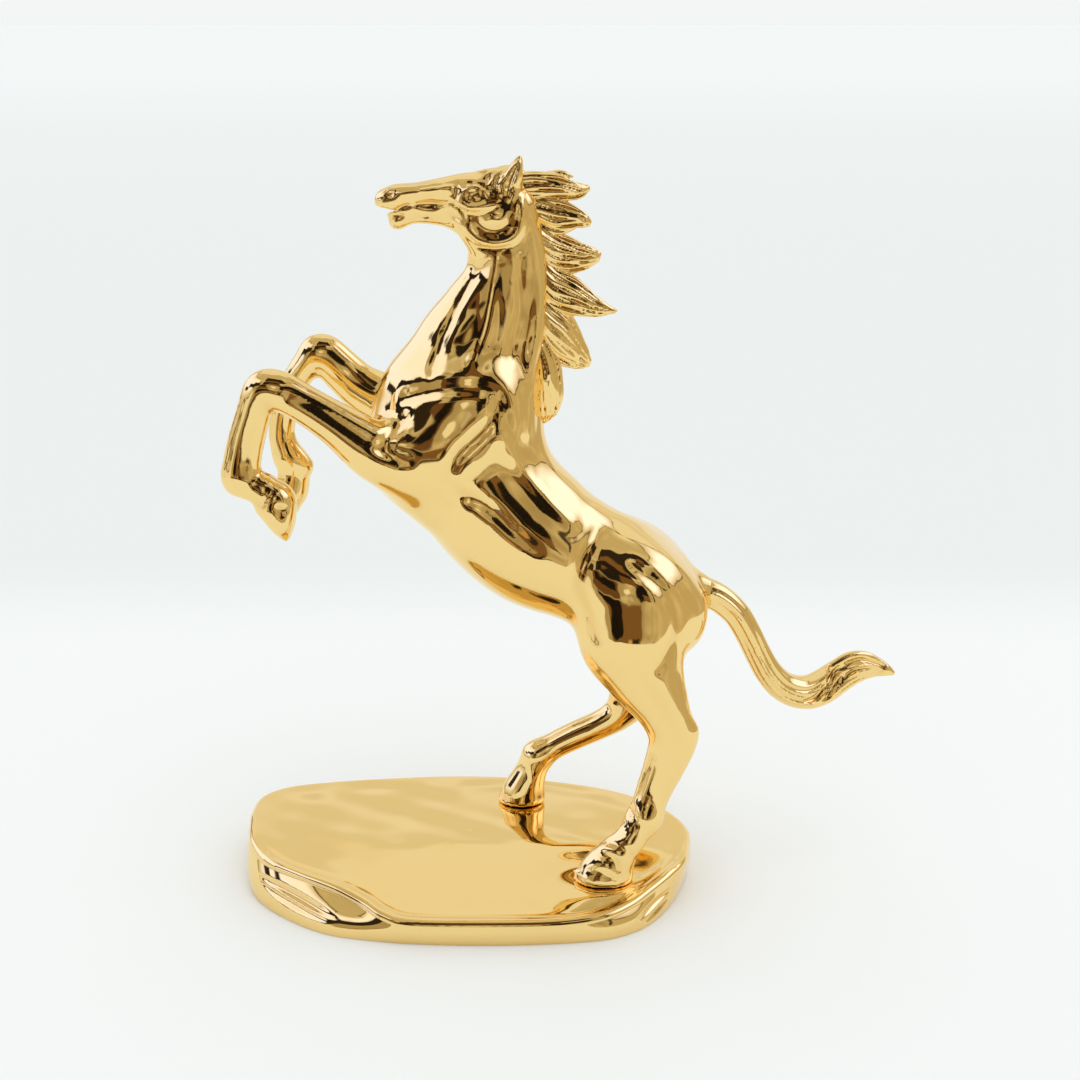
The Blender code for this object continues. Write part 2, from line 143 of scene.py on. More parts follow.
@dataclass(frozen=True)
class Limb:
    """A form of round sections along a path: x, y, z of the middle, half depth and half width."""

    rows: Rows
    blend: float
    steps: int = 8

    def mirrored(self) -> "Limb":
        """Return the same form on the other side."""
        rows = tuple((x, -y, z, deep, wide) for x, y, z, deep, wide in self.rows)
        return Limb(rows, self.blend, self.steps)


@dataclass(frozen=True)
class Swell:
    """An ellipsoid of muscle: its middle, three half lengths, and how it is turned in degrees."""

    middle: Row
    halves: Row
    blend: float
    pitch: float = 0.0
    heading: float = 0.0
    roll: float = 0.0

    def mirrored(self) -> "Swell":
        """Return the same form on the other side."""
        x, y, z = self.middle
        return Swell((x, -y, z), self.halves, self.blend, self.pitch, -self.heading, -self.roll)


def twinned(forms: Iterable[Limb | Swell]) -> list[Limb | Swell]:
    """Return each form followed by its twin on the other side."""
    return [twin for form in forms for twin in (form, form.mirrored())]


@dataclass(frozen=True)
class Mark:
    """A line drawn on one side of the surface: x, z, half width and depth. A negative depth is a ridge."""

    rows: Rows
    blend: float = 1.5
    steps: int = 6


@dataclass
class Clay:
    """A block of sampled clay: the distance to the surface on a grid, negative inside."""

    x: np.ndarray
    y: np.ndarray
    z: np.ndarray
    distance: np.ndarray = field(init=False)

    def __post_init__(self) -> None:
        """Start with nothing in the block."""
        self.distance = np.full((len(self.x), len(self.y), len(self.z)), FAR_AWAY, np.float32)

    def axes(self) -> tuple[np.ndarray, np.ndarray, np.ndarray]:
        """Return the three lists of grid places."""
        return self.x, self.y, self.z

    def window(self, low: np.ndarray, high: np.ndarray) -> Window:
        """Find the part of the grid between two corners.

        Args:
            low: The corner with the least x, y and z.
            high: The corner with the most.

        Returns:
            A slice for each direction.
        """
        slices = []
        for axis, least, most in zip(self.axes(), low, high):
            start = max(int(np.searchsorted(axis, least)) - 1, 0)
            stop = min(int(np.searchsorted(axis, most)) + 1, len(axis))
            slices.append(slice(start, stop))
        return tuple(slices)

    def places(self, part: Window) -> tuple[np.ndarray, ...]:
        """Return x, y and z of a window, ready to combine over its three directions."""
        x, y, z = (axis[piece].astype(np.float32) for axis, piece in zip(self.axes(), part))
        return x[:, None, None], y[None, :, None], z[None, None, :]

    def limb_distance(self, curve: np.ndarray, margin: float) -> tuple[Window, np.ndarray]:
        """Measure how far each grid place lies from a limb.

        The nearest point of the path gives the section there, an ellipse. With r the distance to that point
        and q the same offset measured in half depths and half widths, the distance is r - r / q.

        Args:
            curve: The path's points: x, y, z, half depth, half width.
            margin: How far outside the limb is measured.

        Returns:
            The window that holds the limb, and the distances in it.
        """
        widest = curve[:, 3:5].max(axis=1) + margin
        reach = np.maximum(widest[:-1], widest[1:])
        least = np.minimum(curve[:-1, :3], curve[1:, :3]) - reach[:, None]
        most = np.maximum(curve[:-1, :3], curve[1:, :3]) + reach[:, None]
        part = self.window(least.min(0), most.max(0))
        origin = [piece.start for piece in part]
        shape = tuple(piece.stop - piece.start for piece in part)
        nearest = np.full(shape, np.inf, np.float32)
        along = np.zeros(shape, np.float32)
        for index, (start, end) in enumerate(zip(curve, curve[1:])):
            inner = self.window(least[index], most[index])
            x, y, z = self.places(inner)
            local = tuple(slice(p.start - o, p.stop - o) for p, o in zip(inner, origin))
            step = (end - start)[:3]
            length = float(step @ step) + 1e-9
            share = ((x - start[0]) * step[0] + (y - start[1]) * step[1] + (z - start[2]) * step[2]) / length
            share = np.clip(share, 0.0, 1.0).astype(np.float32)
            gap = (x - start[0] - share * step[0]) ** 2 + (y - start[1] - share * step[1]) ** 2
            gap = gap + (z - start[2] - share * step[2]) ** 2
            closer = gap < nearest[local]
            nearest[local] = np.where(closer, gap, nearest[local])
            along[local] = np.where(closer, index + share, along[local])
        known = np.isfinite(nearest)
        x, y, z = np.broadcast_arrays(*self.places(part))
        numbers = np.arange(len(curve))
        section = [np.interp(along[known], numbers, curve[:, column]) for column in range(5)]
        across = y[known] - section[1]
        offset = np.sqrt(nearest[known]) + 1e-6
        deep = np.maximum(nearest[known] - across**2, 0.0)
        share = np.sqrt(deep / section[3] ** 2 + (across / section[4]) ** 2) + 1e-6
        found = np.full(shape, FAR_AWAY, np.float32)
        found[known] = offset - offset / share
        return part, found

    def swell_distance(self, swell: Swell, margin: float) -> tuple[Window, np.ndarray]:
        """Measure how far each grid place lies from an ellipsoid: r - r / q, as for a limb.

        Args:
            swell: The ellipsoid.
            margin: How far outside it is measured.

        Returns:
            The window that holds it, and the distances in it.
        """
        middle = np.array(swell.middle)
        reach = max(swell.halves) + margin
        part = self.window(middle - reach, middle + reach)
        x, y, z = self.places(part)
        gaps = (x - middle[0], y - middle[1], z - middle[2])
        rows = turned(swell.pitch, swell.heading, swell.roll)
        share = sum(
            ((gaps[0] * row[0] + gaps[1] * row[1] + gaps[2] * row[2]) / half) ** 2
            for row, half in zip(rows, swell.halves)
        )
        share = np.sqrt(share) + 1e-6
        offset = np.sqrt(gaps[0] ** 2 + gaps[1] ** 2 + gaps[2] ** 2) + 1e-6
        return part, (offset - offset / share).astype(np.float32)

    def measure(self, form: Limb | Swell) -> tuple[Window, np.ndarray]:
        """Measure how far each grid place lies from either kind of form.

        Args:
            form: The form.

        Returns:
            The window that holds it, and the distances in it.
        """
        margin = form.blend + MARGIN
        if isinstance(form, Swell):
            return self.swell_distance(form, margin)
        return self.limb_distance(smooth_rows(form.rows, form.steps), margin)

    def add(self, *forms: Limb | Swell) -> None:
        """Join forms to the clay in order, each with a fillet.

        Args:
            forms: The forms.
        """
        for form in forms:
            part, found = self.measure(form)
            self.distance[part] = soft_least(self.distance[part], found, form.blend)

    def carve(self, *forms: Limb | Swell) -> None:
        """Take forms away from the clay in order, each with a rounded lip.

        Args:
            forms: The forms.
        """
        for form in forms:
            part, found = self.measure(form)
            self.distance[part] = -soft_least(-self.distance[part], found, form.blend)

    def surface_y(self, x: float, z: float, side: Side) -> float:
        """Find the surface, looking straight across the figure from one side.

        The distances along the line of sight are blended from the four grid lines round it. The surface is
        where they first fall below 0, or else the place that is nearest to the clay.

        Args:
            x: The place along the figure.
            z: The height.
            side: The side that is looked from.

        Returns:
            Its y.
        """
        i = int(np.clip(np.searchsorted(self.x, x) - 1, 0, len(self.x) - 2))
        k = int(np.clip(np.searchsorted(self.z, z) - 1, 0, len(self.z) - 2))
        s = (x - self.x[i]) / (self.x[i + 1] - self.x[i])
        t = (z - self.z[k]) / (self.z[k + 1] - self.z[k])
        cell = self.distance[i:i + 2, :, k:k + 2]
        line = (cell[0, :, 0] * (1 - s) + cell[1, :, 0] * s) * (1 - t)
        line = line + (cell[0, :, 1] * (1 - s) + cell[1, :, 1] * s) * t
        order = np.arange(len(line)) if side is Side.NEAR else np.arange(len(line))[::-1]
        inside = np.nonzero(line[order] < 0)[0]
        if len(inside) == 0:
            return float(self.y[order[int(np.argmin(line[order]))]])
        first = max(int(inside[0]), 1)
        outer, inner = order[first - 1], order[first]
        share = line[outer] / (line[outer] - line[inner])
        return float(self.y[outer] + share * (self.y[inner] - self.y[outer]))

    def draw(self, mark: Mark, side: Side) -> None:
        """Draw a mark along the surface: a groove that is cut in, or a ridge that stands out.

        The tool is a round rod whose middle is held off the surface by its radius less the depth.

        Args:
            mark: The mark. The depth at its middle says which of the two it is.
            side: The side that it is drawn on.
        """
        rows = []
        for x, z, wide, depth in smooth_rows(mark.rows, 3):
            level = self.surface_y(x, z, side)
            held = (wide - abs(depth)) * (1 if depth > 0 else -1)
            rows.append((x, level + side.value * held, z, wide, wide))
        tool = Limb(tuple(rows), mark.blend, mark.steps)
        if mark.rows[len(mark.rows) // 2][3] > 0:
            self.carve(tool)
        else:
            self.add(tool)

    def level_sole(self, middle: Row, reach: float, height: float) -> None:
        """Cut the clay level under a hoof.

        Args:
            middle: x and y of the sole's middle.
            reach: How far out the cut goes.
            height: The level of the cut.
        """
        x, y = middle
        low = np.array([x - reach, y - reach, self.z[0]])
        high = np.array([x + reach, y + reach, height + reach])
        part = self.window(low, high)
        z = self.places(part)[2]
        self.distance[part] = np.maximum(self.distance[part], height - z)

    def soften(self, rounds: int) -> None:
        """Average each place with its neighbours, one part each to two parts, along the three directions.

        Args:
            rounds: How many times.
        """
        farthest = 8.0
        near = np.clip(self.distance, -farthest, farthest)
        for _ in range(rounds):
            for axis in range(3):
                padded = np.concatenate([near.take([0], axis), near, near.take([-1], axis)], axis)
                count = near.shape[axis]
                before = padded.take(range(0, count), axis)
                after = padded.take(range(2, count + 2), axis)
                near = 0.5 * near + 0.25 * (before + after)
        self.distance = near.astype(np.float32)

    def skin(self) -> "Skin":
        """Wrap the clay in four-sided faces and lift it clear of the slab's seats.

        Each grid cell that the surface passes gets one point, the mean of the places where the surface
        crosses the cell's twelve edges. Each grid edge that is crossed gets a face from the four cells
        round it.

        Returns:
            The mesh.
        """
        values = self.distance
        inside = values < 0
        count = np.zeros(tuple(n - 1 for n in values.shape), np.uint8)
        long, wide, high = count.shape
        for i in (0, 1):
            for j in (0, 1):
                for k in (0, 1):
                    count += inside[i:i + long, j:j + wide, k:k + high]
        cells = np.argwhere((count > 0) & (count < 8))
        number = np.full(count.shape, -1, np.int64)
        number[tuple(cells.T)] = np.arange(len(cells))
        total = np.zeros((len(cells), 3))
        crossings = np.zeros(len(cells))
        grid = self.axes()
        for axis in range(3):
            others = [a for a in range(3) if a != axis]
            for j in (0, 1):
                for k in (0, 1):
                    start = cells.copy()
                    start[:, others[0]] += j
                    start[:, others[1]] += k
                    end = start.copy()
                    end[:, axis] += 1
                    first, second = values[tuple(start.T)], values[tuple(end.T)]
                    crossed = (first < 0) != (second < 0)
                    share = np.where(crossed, first / np.where(crossed, first - second, 1.0), 0.0)
                    place = np.empty((len(cells), 3))
                    for a in range(3):
                        place[:, a] = grid[a][start[:, a]]
                    place[:, axis] += share * (grid[axis][end[:, axis]] - grid[axis][start[:, axis]])
                    total += place * crossed[:, None]
                    crossings += crossed
        points = total / crossings[:, None]
        points[:, 2] += SOLE_CLEARANCE
        faces = []
        for axis in range(3):
            others = [a for a in range(3) if a != axis]
            lower = [slice(1, n - 1) for n in inside.shape]
            upper = list(lower)
            lower[axis] = slice(0, inside.shape[axis] - 1)
            upper[axis] = slice(1, inside.shape[axis])
            first, second = inside[tuple(lower)], inside[tuple(upper)]
            edges = np.argwhere(first != second)
            leaves = first[tuple(edges.T)]
            base = edges + np.array([0 if a == axis else 1 for a in range(3)])
            ring = []
            for j, k in ((0, 0), (1, 0), (1, 1), (0, 1)):
                cell = base.copy()
                cell[:, others[0]] -= 1 - j
                cell[:, others[1]] -= 1 - k
                ring.append(number[tuple(cell.T)])
            quads = np.column_stack(ring)
            forward = leaves if axis != 1 else ~leaves
            faces.append(np.where(forward[:, None], quads, quads[:, ::-1]))
        return Skin(points, np.vstack(faces))


def neighbour_mean(values: np.ndarray, edges: np.ndarray, degree: np.ndarray) -> np.ndarray:
    """Work out the mean of each point's neighbours.

    Args:
        values: What is averaged, one row a point.
        edges: The two ends of each edge.
        degree: How many edges meet at each point.

    Returns:
        The means, one row a point.
    """
    mean = np.empty_like(values)
    ends = np.concatenate([edges[:, 0], edges[:, 1]])
    others = np.concatenate([edges[:, 1], edges[:, 0]])
    for column in range(values.shape[1]):
        mean[:, column] = np.bincount(ends, values[others, column], len(values)) / degree
    return mean


@dataclass
class Skin:
    """A mesh in millimetres, and what is done to it before it becomes a piece."""

    points: np.ndarray
    faces: np.ndarray

    def edges(self) -> tuple[np.ndarray, np.ndarray]:
        """List the mesh's edges.

        Returns:
            The two ends of each edge, once, and how many edges meet at each point.
        """
        corners = self.faces.shape[1]
        pairs = np.vstack([self.faces[:, [corner, (corner + 1) % corners]] for corner in range(corners)])
        pairs = np.unique(np.sort(pairs, axis=1), axis=0)
        return pairs, np.maximum(np.bincount(pairs.ravel(), minlength=len(self.points)), 1)

    def relax(self, rounds: int, kept: np.ndarray | None = None) -> None:
        """Iron out the grid's ripple and keep the size.

        Each round moves points 0.5 of the way to their neighbours' mean, then 0.52 of the way back.

        Args:
            rounds: How many times.
            kept: How firmly each point is held, from 0 to 1.
        """
        edges, degree = self.edges()
        free = np.ones(len(self.points)) if kept is None else 1.0 - kept
        for _ in range(rounds):
            for share in (0.5, -0.52):
                mean = neighbour_mean(self.points, edges, degree)
                self.points = self.points + (mean - self.points) * (share * free)[:, None]

    def normals(self) -> np.ndarray:
        """Work out each point's normal: the sum of its faces' area vectors, made one long.

        Returns:
            The normals, one a row.
        """
        corners = self.points[self.faces]
        areas = np.cross(corners[:, 2] - corners[:, 0], corners[:, -1] - corners[:, 1])
        summed = np.zeros_like(self.points)
        for corner in range(self.faces.shape[1]):
            for column in range(3):
                summed[:, column] += np.bincount(self.faces[:, corner], areas[:, column], len(self.points))
        return summed / np.maximum(np.linalg.norm(summed, axis=1), 1e-12)[:, None]

    def hollows(self, scale: float) -> np.ndarray:
        """Find the creases by how far the mean of a point's neighbours stands out, averaged three times.

        Args:
            scale: How far it stands out in a full crease.

        Returns:
            0 on open surface to 1 in a full crease, for each point.
        """
        edges, degree = self.edges()
        out = ((neighbour_mean(self.points, edges, degree) - self.points) * self.normals()).sum(axis=1)
        mask = np.clip(out / scale, 0.0, 1.0)[:, None]
        for _ in range(3):
            mask = neighbour_mean(mask, edges, degree)
        return mask[:, 0]

    def piece(self, name: str, slot: Slot, replaced: str, material: bpy.types.Material) -> bpy.types.Object:
        """Make the mesh a smooth-shaded piece of the figure in metres.

        Args:
            name: The piece's name.
            slot: The record's slot; not used.
            replaced: The CAD node that it stands for.
            material: Its finish.

        Returns:
            The new object.
        """
        mesh = bpy.data.meshes.new(name)
        mesh.from_pydata((self.points * MILLIMETRE).tolist(), [], self.faces.tolist())
        mesh.validate()
        mesh.shade_smooth()
        crease = mesh.attributes.new(CREASE, "FLOAT", "POINT")
        crease.data.foreach_set("value", self.hollows(CREASE_DEPTH).astype(np.float32))
        mesh.materials.append(material)
        thing = bpy.data.objects.new(name, mesh)
        bpy.context.scene.collection.objects.link(thing)
        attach(thing, "root")
        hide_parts(replaced)
        LOG.info("%s: %d points, %d faces", name, len(mesh.vertices), len(mesh.polygons))
        return thing


def stepped(*spans: tuple[float, float]) -> np.ndarray:
    """Space grid places from span to span.

    Args:
        spans: Where each span starts and how far apart its places are. The last one only ends the grid.

    Returns:
        The places.
    """
    places = []
    for (start, step), (end, _) in zip(spans, spans[1:]):
        count = max(int(round((end - start) / step)), 1)
        places.append(start + (end - start) * np.arange(count) / count)
    places.append(np.array([spans[-1][0]]))
    return np.concatenate(places)


def clay_block(grid: Grid) -> Clay:
    """Return an empty block of clay on a grid of spans along x, y and z."""
    return Clay(*(stepped(*spans) for spans in grid))


@dataclass(frozen=True)
class Hold:
    """A share of the fine relief that the last smoothing leaves, past a start along one axis."""

    axis: int
    sign: int
    start: float
    fade: float
    share: float

    def weights(self, points: np.ndarray) -> np.ndarray:
        """Return how firmly each point is held."""
        return self.share * eased(self.sign * (points[:, self.axis] - self.start) / self.fade)


@dataclass
class Body:
    """The horse without its mane and tail: trunk, legs and head in one casting."""

    trunk: tuple[Limb, ...] = (
        Limb(((-8, 0, 183, 25, 20), (1, 0, 169.5, 26, 23.5), (12, 0, 152.5, 26.3, 26),
              (26.8, 0, 138.8, 26, 27), (43, 0, 129.4, 22.6, 25), (58, 0, 122.4, 21.3, 23),
              (71, 0, 115, 18, 18)), 6),
        Limb(((-15.4, 0, 195.6, 14, 14), (-14, 0, 180, 19, 18), (-7, 0, 165, 18.5, 18)), 8),
        Limb(((16.2, 0, 257, 12.8, 9), (16.2, 0, 246, 14.1, 9.5), (15.5, 0, 236, 15.4, 10.5),
              (10.8, 0, 224, 18.8, 12.5), (5, 0, 211, 22.8, 15.5), (1, 0, 198, 25.4, 18.5),
              (1, 0, 184, 26.5, 21)), 8),
        Limb(((20.8, 0, 205, 7, 8), (18.8, 0, 191, 8.6, 11), (18.6, 0, 177, 8.2, 12),
              (26.6, 0, 161.8, 7.5, 14), (37.6, 0, 150.5, 7.2, 14)), 8),
        Limb(((47.4, 0, 140.2, 10.7, 16), (61.4, 0, 130.4, 13.4, 18), (74.9, 0, 119.9, 12.9, 16),
              (82, 0, 115.2, 8.6, 11)), 8),
        Limb(((-33, -11, 174.4, 8.5, 8.5), (-21, -8, 168, 13.1, 11), (-9, -6, 161.2, 13.9, 13)), 6),
        Limb(((-21, 9, 170, 12, 10), (-9, 8, 163, 13, 12)), 6),
    )
    crest_muscle: Limb = Limb(((24.6, 4.2, 257, 2.6, 2.6), (26.8, 4.4, 248, 2.9, 3),
                               (27.4, 4.8, 238, 3, 3.2), (27.2, 5.2, 228, 3.1, 3.4),
                               (26, 6.2, 216, 3.3, 3.6), (23.4, 7.6, 204, 3.4, 3.8),
                               (22, 8.6, 192, 3.2, 3.6)), 2)
    paired: tuple[Swell, ...] = (
        Swell((3, 12.5, 187), (20, 10.5, 23), 7, -25),
        Swell((-9, 14.5, 176), (17, 10.5, 14), 7, -30),
        Swell((62.5, 13.5, 120), (25, 14.5, 20.5), 8, -35),
        Swell((77.5, 11.5, 111.5), (12.4, 11, 14.6), 6, 10),
        Swell((11, 4.6, 257.6), (12.6, 5, 12.8), 4, 0),
        Swell((-2, 20.5, 166), (6.5, 4, 5), 3, -30),
    )
    legs: tuple[Limb, ...] = (
        Limb(((62.5, -15, 118, 20, 15), (62.8, -18.5, 105, 20.5, 14), (67.7, -22, 92, 15.2, 10.5),
              (74.3, -25, 79, 10.2, 7.8), (77.4, -26, 69, 9, 6.4), (75, -27, 59, 8.2, 5.8),
              (70.7, -28.4, 48.2, 7, 5.3), (67.6, -30, 38.4, 6.5, 5.5)), 5),
        Limb(((85.2, -26, 72, 2.3, 2.6), (83.2, -26, 68, 3.3, 3), (79, -26, 62, 4, 3.5)), 4),
        Limb(((67, -30.5, 37.6, 6.3, 6), (61.5, -32, 29.8, 6, 5.6), (57, -33, 25, 6.8, 6)), 4),
        Limb(((62, 15, 118, 21, 15), (60.5, 18.5, 104, 18, 13.5), (62, 21, 90, 12, 10), (64, 24, 77, 10, 8),
              (65, 25, 67.4, 9.6, 6.6), (61, 26, 58, 7.4, 5.9), (54, 26.3, 52.8, 6.3, 5.3),
              (43, 26.7, 47.4, 6.1, 5.1), (33.5, 27, 42.3, 5.8, 5.2), (28, 27, 38.2, 5.8, 5.4)), 5),
        Limb(((75, 25, 65.6, 2.4, 2.6), (72.5, 25, 62.8, 3, 3), (68, 25, 60, 4, 3.5)), 4),
        Limb(((26.5, 27, 38, 6.2, 5.8), (24.5, 27, 31, 6.1, 5.7), (23, 27, 27, 6.5, 6.2)), 4),
        Limb(((-12, -13.5, 172, 16, 10.5), (-21, -15.5, 173.8, 14.4, 10), (-32, -18, 178, 11.2, 9),
              (-44, -19.5, 187, 8.3, 7), (-56, -20, 195, 7.2, 6.2), (-65.5, -20, 200.3, 7.4, 6.6),
              (-71, -20, 200.5, 6.4, 6.2), (-74.4, -20, 191, 6.5, 5.6), (-77.8, -20, 180, 6.9, 5.2),
              (-79.9, -20, 170.5, 7.1, 5.6)), 4),
        Limb(((-80.2, -20, 167.2, 6.9, 5.2), (-75, -20, 164.2, 5.6, 4.8), (-70, -20, 162, 5.4, 4.8)), 2.4),
        Limb(((-16, 15, 182, 13, 10), (-28, 17.5, 187, 11, 8.5), (-39.5, 19, 192.8, 9.1, 7),
              (-47, 20, 199.4, 8.4, 6.3), (-54.5, 20, 204.9, 8.8, 6.2), (-59.2, 20, 202.2, 6.2, 6),
              (-64.7, 20, 194.7, 5.4, 5.3), (-69.2, 20, 184, 5.4, 4.8), (-70.6, 20, 174, 5.3, 4.9),
              (-68.6, 20, 166, 5.8, 5.2)), 4),
        Limb(((-68, 20, 165, 5.2, 5.2), (-62.6, 20, 162, 4.4, 4.4)), 4),
    )
    hooves: tuple[Limb, ...] = (
        Limb(((62, -32.4, 30, 5.6, 6), (56.4, -33, 23, 8.4, 7), (53.5, -33.2, 17.2, 10.8, 7.8),
              (52.2, -33.2, 12.2, 11.8, 8.2), (51.5, -33.2, 9.2, 12.2, 8.4)), 1.5),
        Limb(((24.8, 27, 33, 5.8, 6), (23, 27, 28, 7.2, 6.9), (21.4, 27, 22.5, 9, 7.7),
              (20.4, 27, 17, 10, 8.1), (19.9, 27, 13, 10.4, 8.3)), 1.5),
        Limb(((-71.8, -20, 164, 5.8, 5.8), (-68.3, -20, 159.3, 8.1, 6.8), (-66.5, -20, 154, 6.5, 7),
              (-65.2, -20, 148.5, 4, 6), (-64.7, -20, 145.7, 1.9, 3)), 1.5),
        Limb(((-66.5, 20, 164, 5.4, 5), (-67, 20, 156, 6.4, 5.6), (-68.5, 20, 151, 6.8, 6.6),
              (-69.5, 20, 146.5, 5, 5.6)), 1.5),
    )
    head: tuple[Limb, ...] = (
        Limb(((-26.9, 0, 265.2, 3.8, 5), (-23, 0, 265.7, 4.8, 5.4), (-15, 0, 265.6, 5.5, 5.2),
              (-7, 0, 266.2, 6.5, 6), (2, 0, 265.8, 8.8, 8.6), (10, 0, 264.1, 10.2, 9),
              (16, 0, 262.1, 10.6, 8.5)), 4),
        Limb(((-27.4, 0, 263.9, 2.9, 4.4), (-24, 0, 262.8, 2.8, 4.2), (-19, 0, 262, 2.6, 4)), 2),
        Limb(((-22.7, 0, 257.5, 3.5, 3.8), (-19, 0, 258.7, 2.9, 3.7), (-15, 0, 259.4, 3, 3.8),
              (-5, 0, 258.7, 3.7, 4.3), (4, 0, 255.4, 5.4, 5)), 3),
        Limb(((20, 0, 273.2, 3.4, 3.5), (15.5, 0, 274.6, 2.5, 3.2), (10.5, 0, 273.2, 1.6, 2.5)), 2),
    )
    dock: Limb = Limb(((74, 0, 118.6, 8, 8), (86, 0, 119.4, 6.4, 5.8), (91, 0, 118.2, 5.2, 4.8),
                       (95, 0, 116.2, 3.6, 3.4)), 4)
    ear: Limb = Limb(((17, 5.4, 267.5, 3.2, 2.8), (18.2, 6.2, 271.6, 3.5, 2.7), (19.4, 6.8, 275, 2.9, 2.2),
                      (20.3, 7, 277.6, 1.8, 1.4), (20.9, 7, 279.2, 0.9, 0.8)), 1)
    ear_hollow: Limb = Limb(((16.8, 8.6, 270, 1, 1.2), (17.8, 9.2, 272.8, 1.3, 1.5),
                             (19, 9, 275.4, 1.1, 1.2), (20, 8.4, 277.6, 0.5, 0.6)), 0.4)
    tufts: tuple[Limb, ...] = (
        Limb(((19.5, 3.4, 274, 2, 1.8), (16.4, 6, 273, 2.1, 1.8), (14.6, 7.6, 270.6, 1.6, 1.3),
              (15.4, 8.6, 267.6, 0.8, 0.7)), 0.4),
        Limb(((18, 2, 275, 1.7, 1.6), (13.6, 4.6, 274.2, 1.5, 1.4), (11.4, 6.6, 271.6, 1.2, 1.1),
              (11.8, 7.6, 268.6, 0.6, 0.6)), 0.4),
        Limb(((17, 1, 275.2, 1.6, 1.7), (12, 2.6, 274.6, 1.3, 1.5), (8.4, 4.6, 273, 1, 1.1),
              (7.4, 5.8, 271, 0.5, 0.5)), 0.4),
        Limb(((18, 0, 275.4, 1.5, 1.8), (12.5, 0.6, 275, 1.2, 1.5), (7, 1, 274.4, 0.9, 1),
              (3.6, 1.2, 273.6, 0.5, 0.5)), 0.4),
        Limb(((20.6, 4.6, 270, 1.8, 2), (18.6, 7.4, 267.2, 1.6, 1.7), (17.8, 8.2, 263.6, 1.2, 1.1),
              (18.2, 8, 260.6, 0.5, 0.5)), 0.5),
    )
    eyeball: Swell = Swell((4.9, 7.2, 266.8), (2, 1.6, 1.35), 0.3, -6)
    mouth: Limb = Limb(((-33, 0, 259.8, 2.6, 9), (-29, 0, 260.8, 1.8, 9), (-26.4, 0, 261.1, 0.9, 9),
                        (-24.6, 0, 261.3, 0.35, 9)), 0.4)
    nose_edge: Limb = Limb(((-25, 3.4, 267.6, 1.4, 1.4), (-19, 4.5, 268.2, 1.8, 1.7),
                            (-12, 5, 268.8, 2, 1.9), (-6, 5.6, 269.4, 2, 2), (-2.6, 6, 269.6, 1.4, 1.6)),
                           1.6)
    nostril: Swell = Swell((-25, 5.6, 267.4), (2.1, 1.7, 1.5), 0.4, 20)
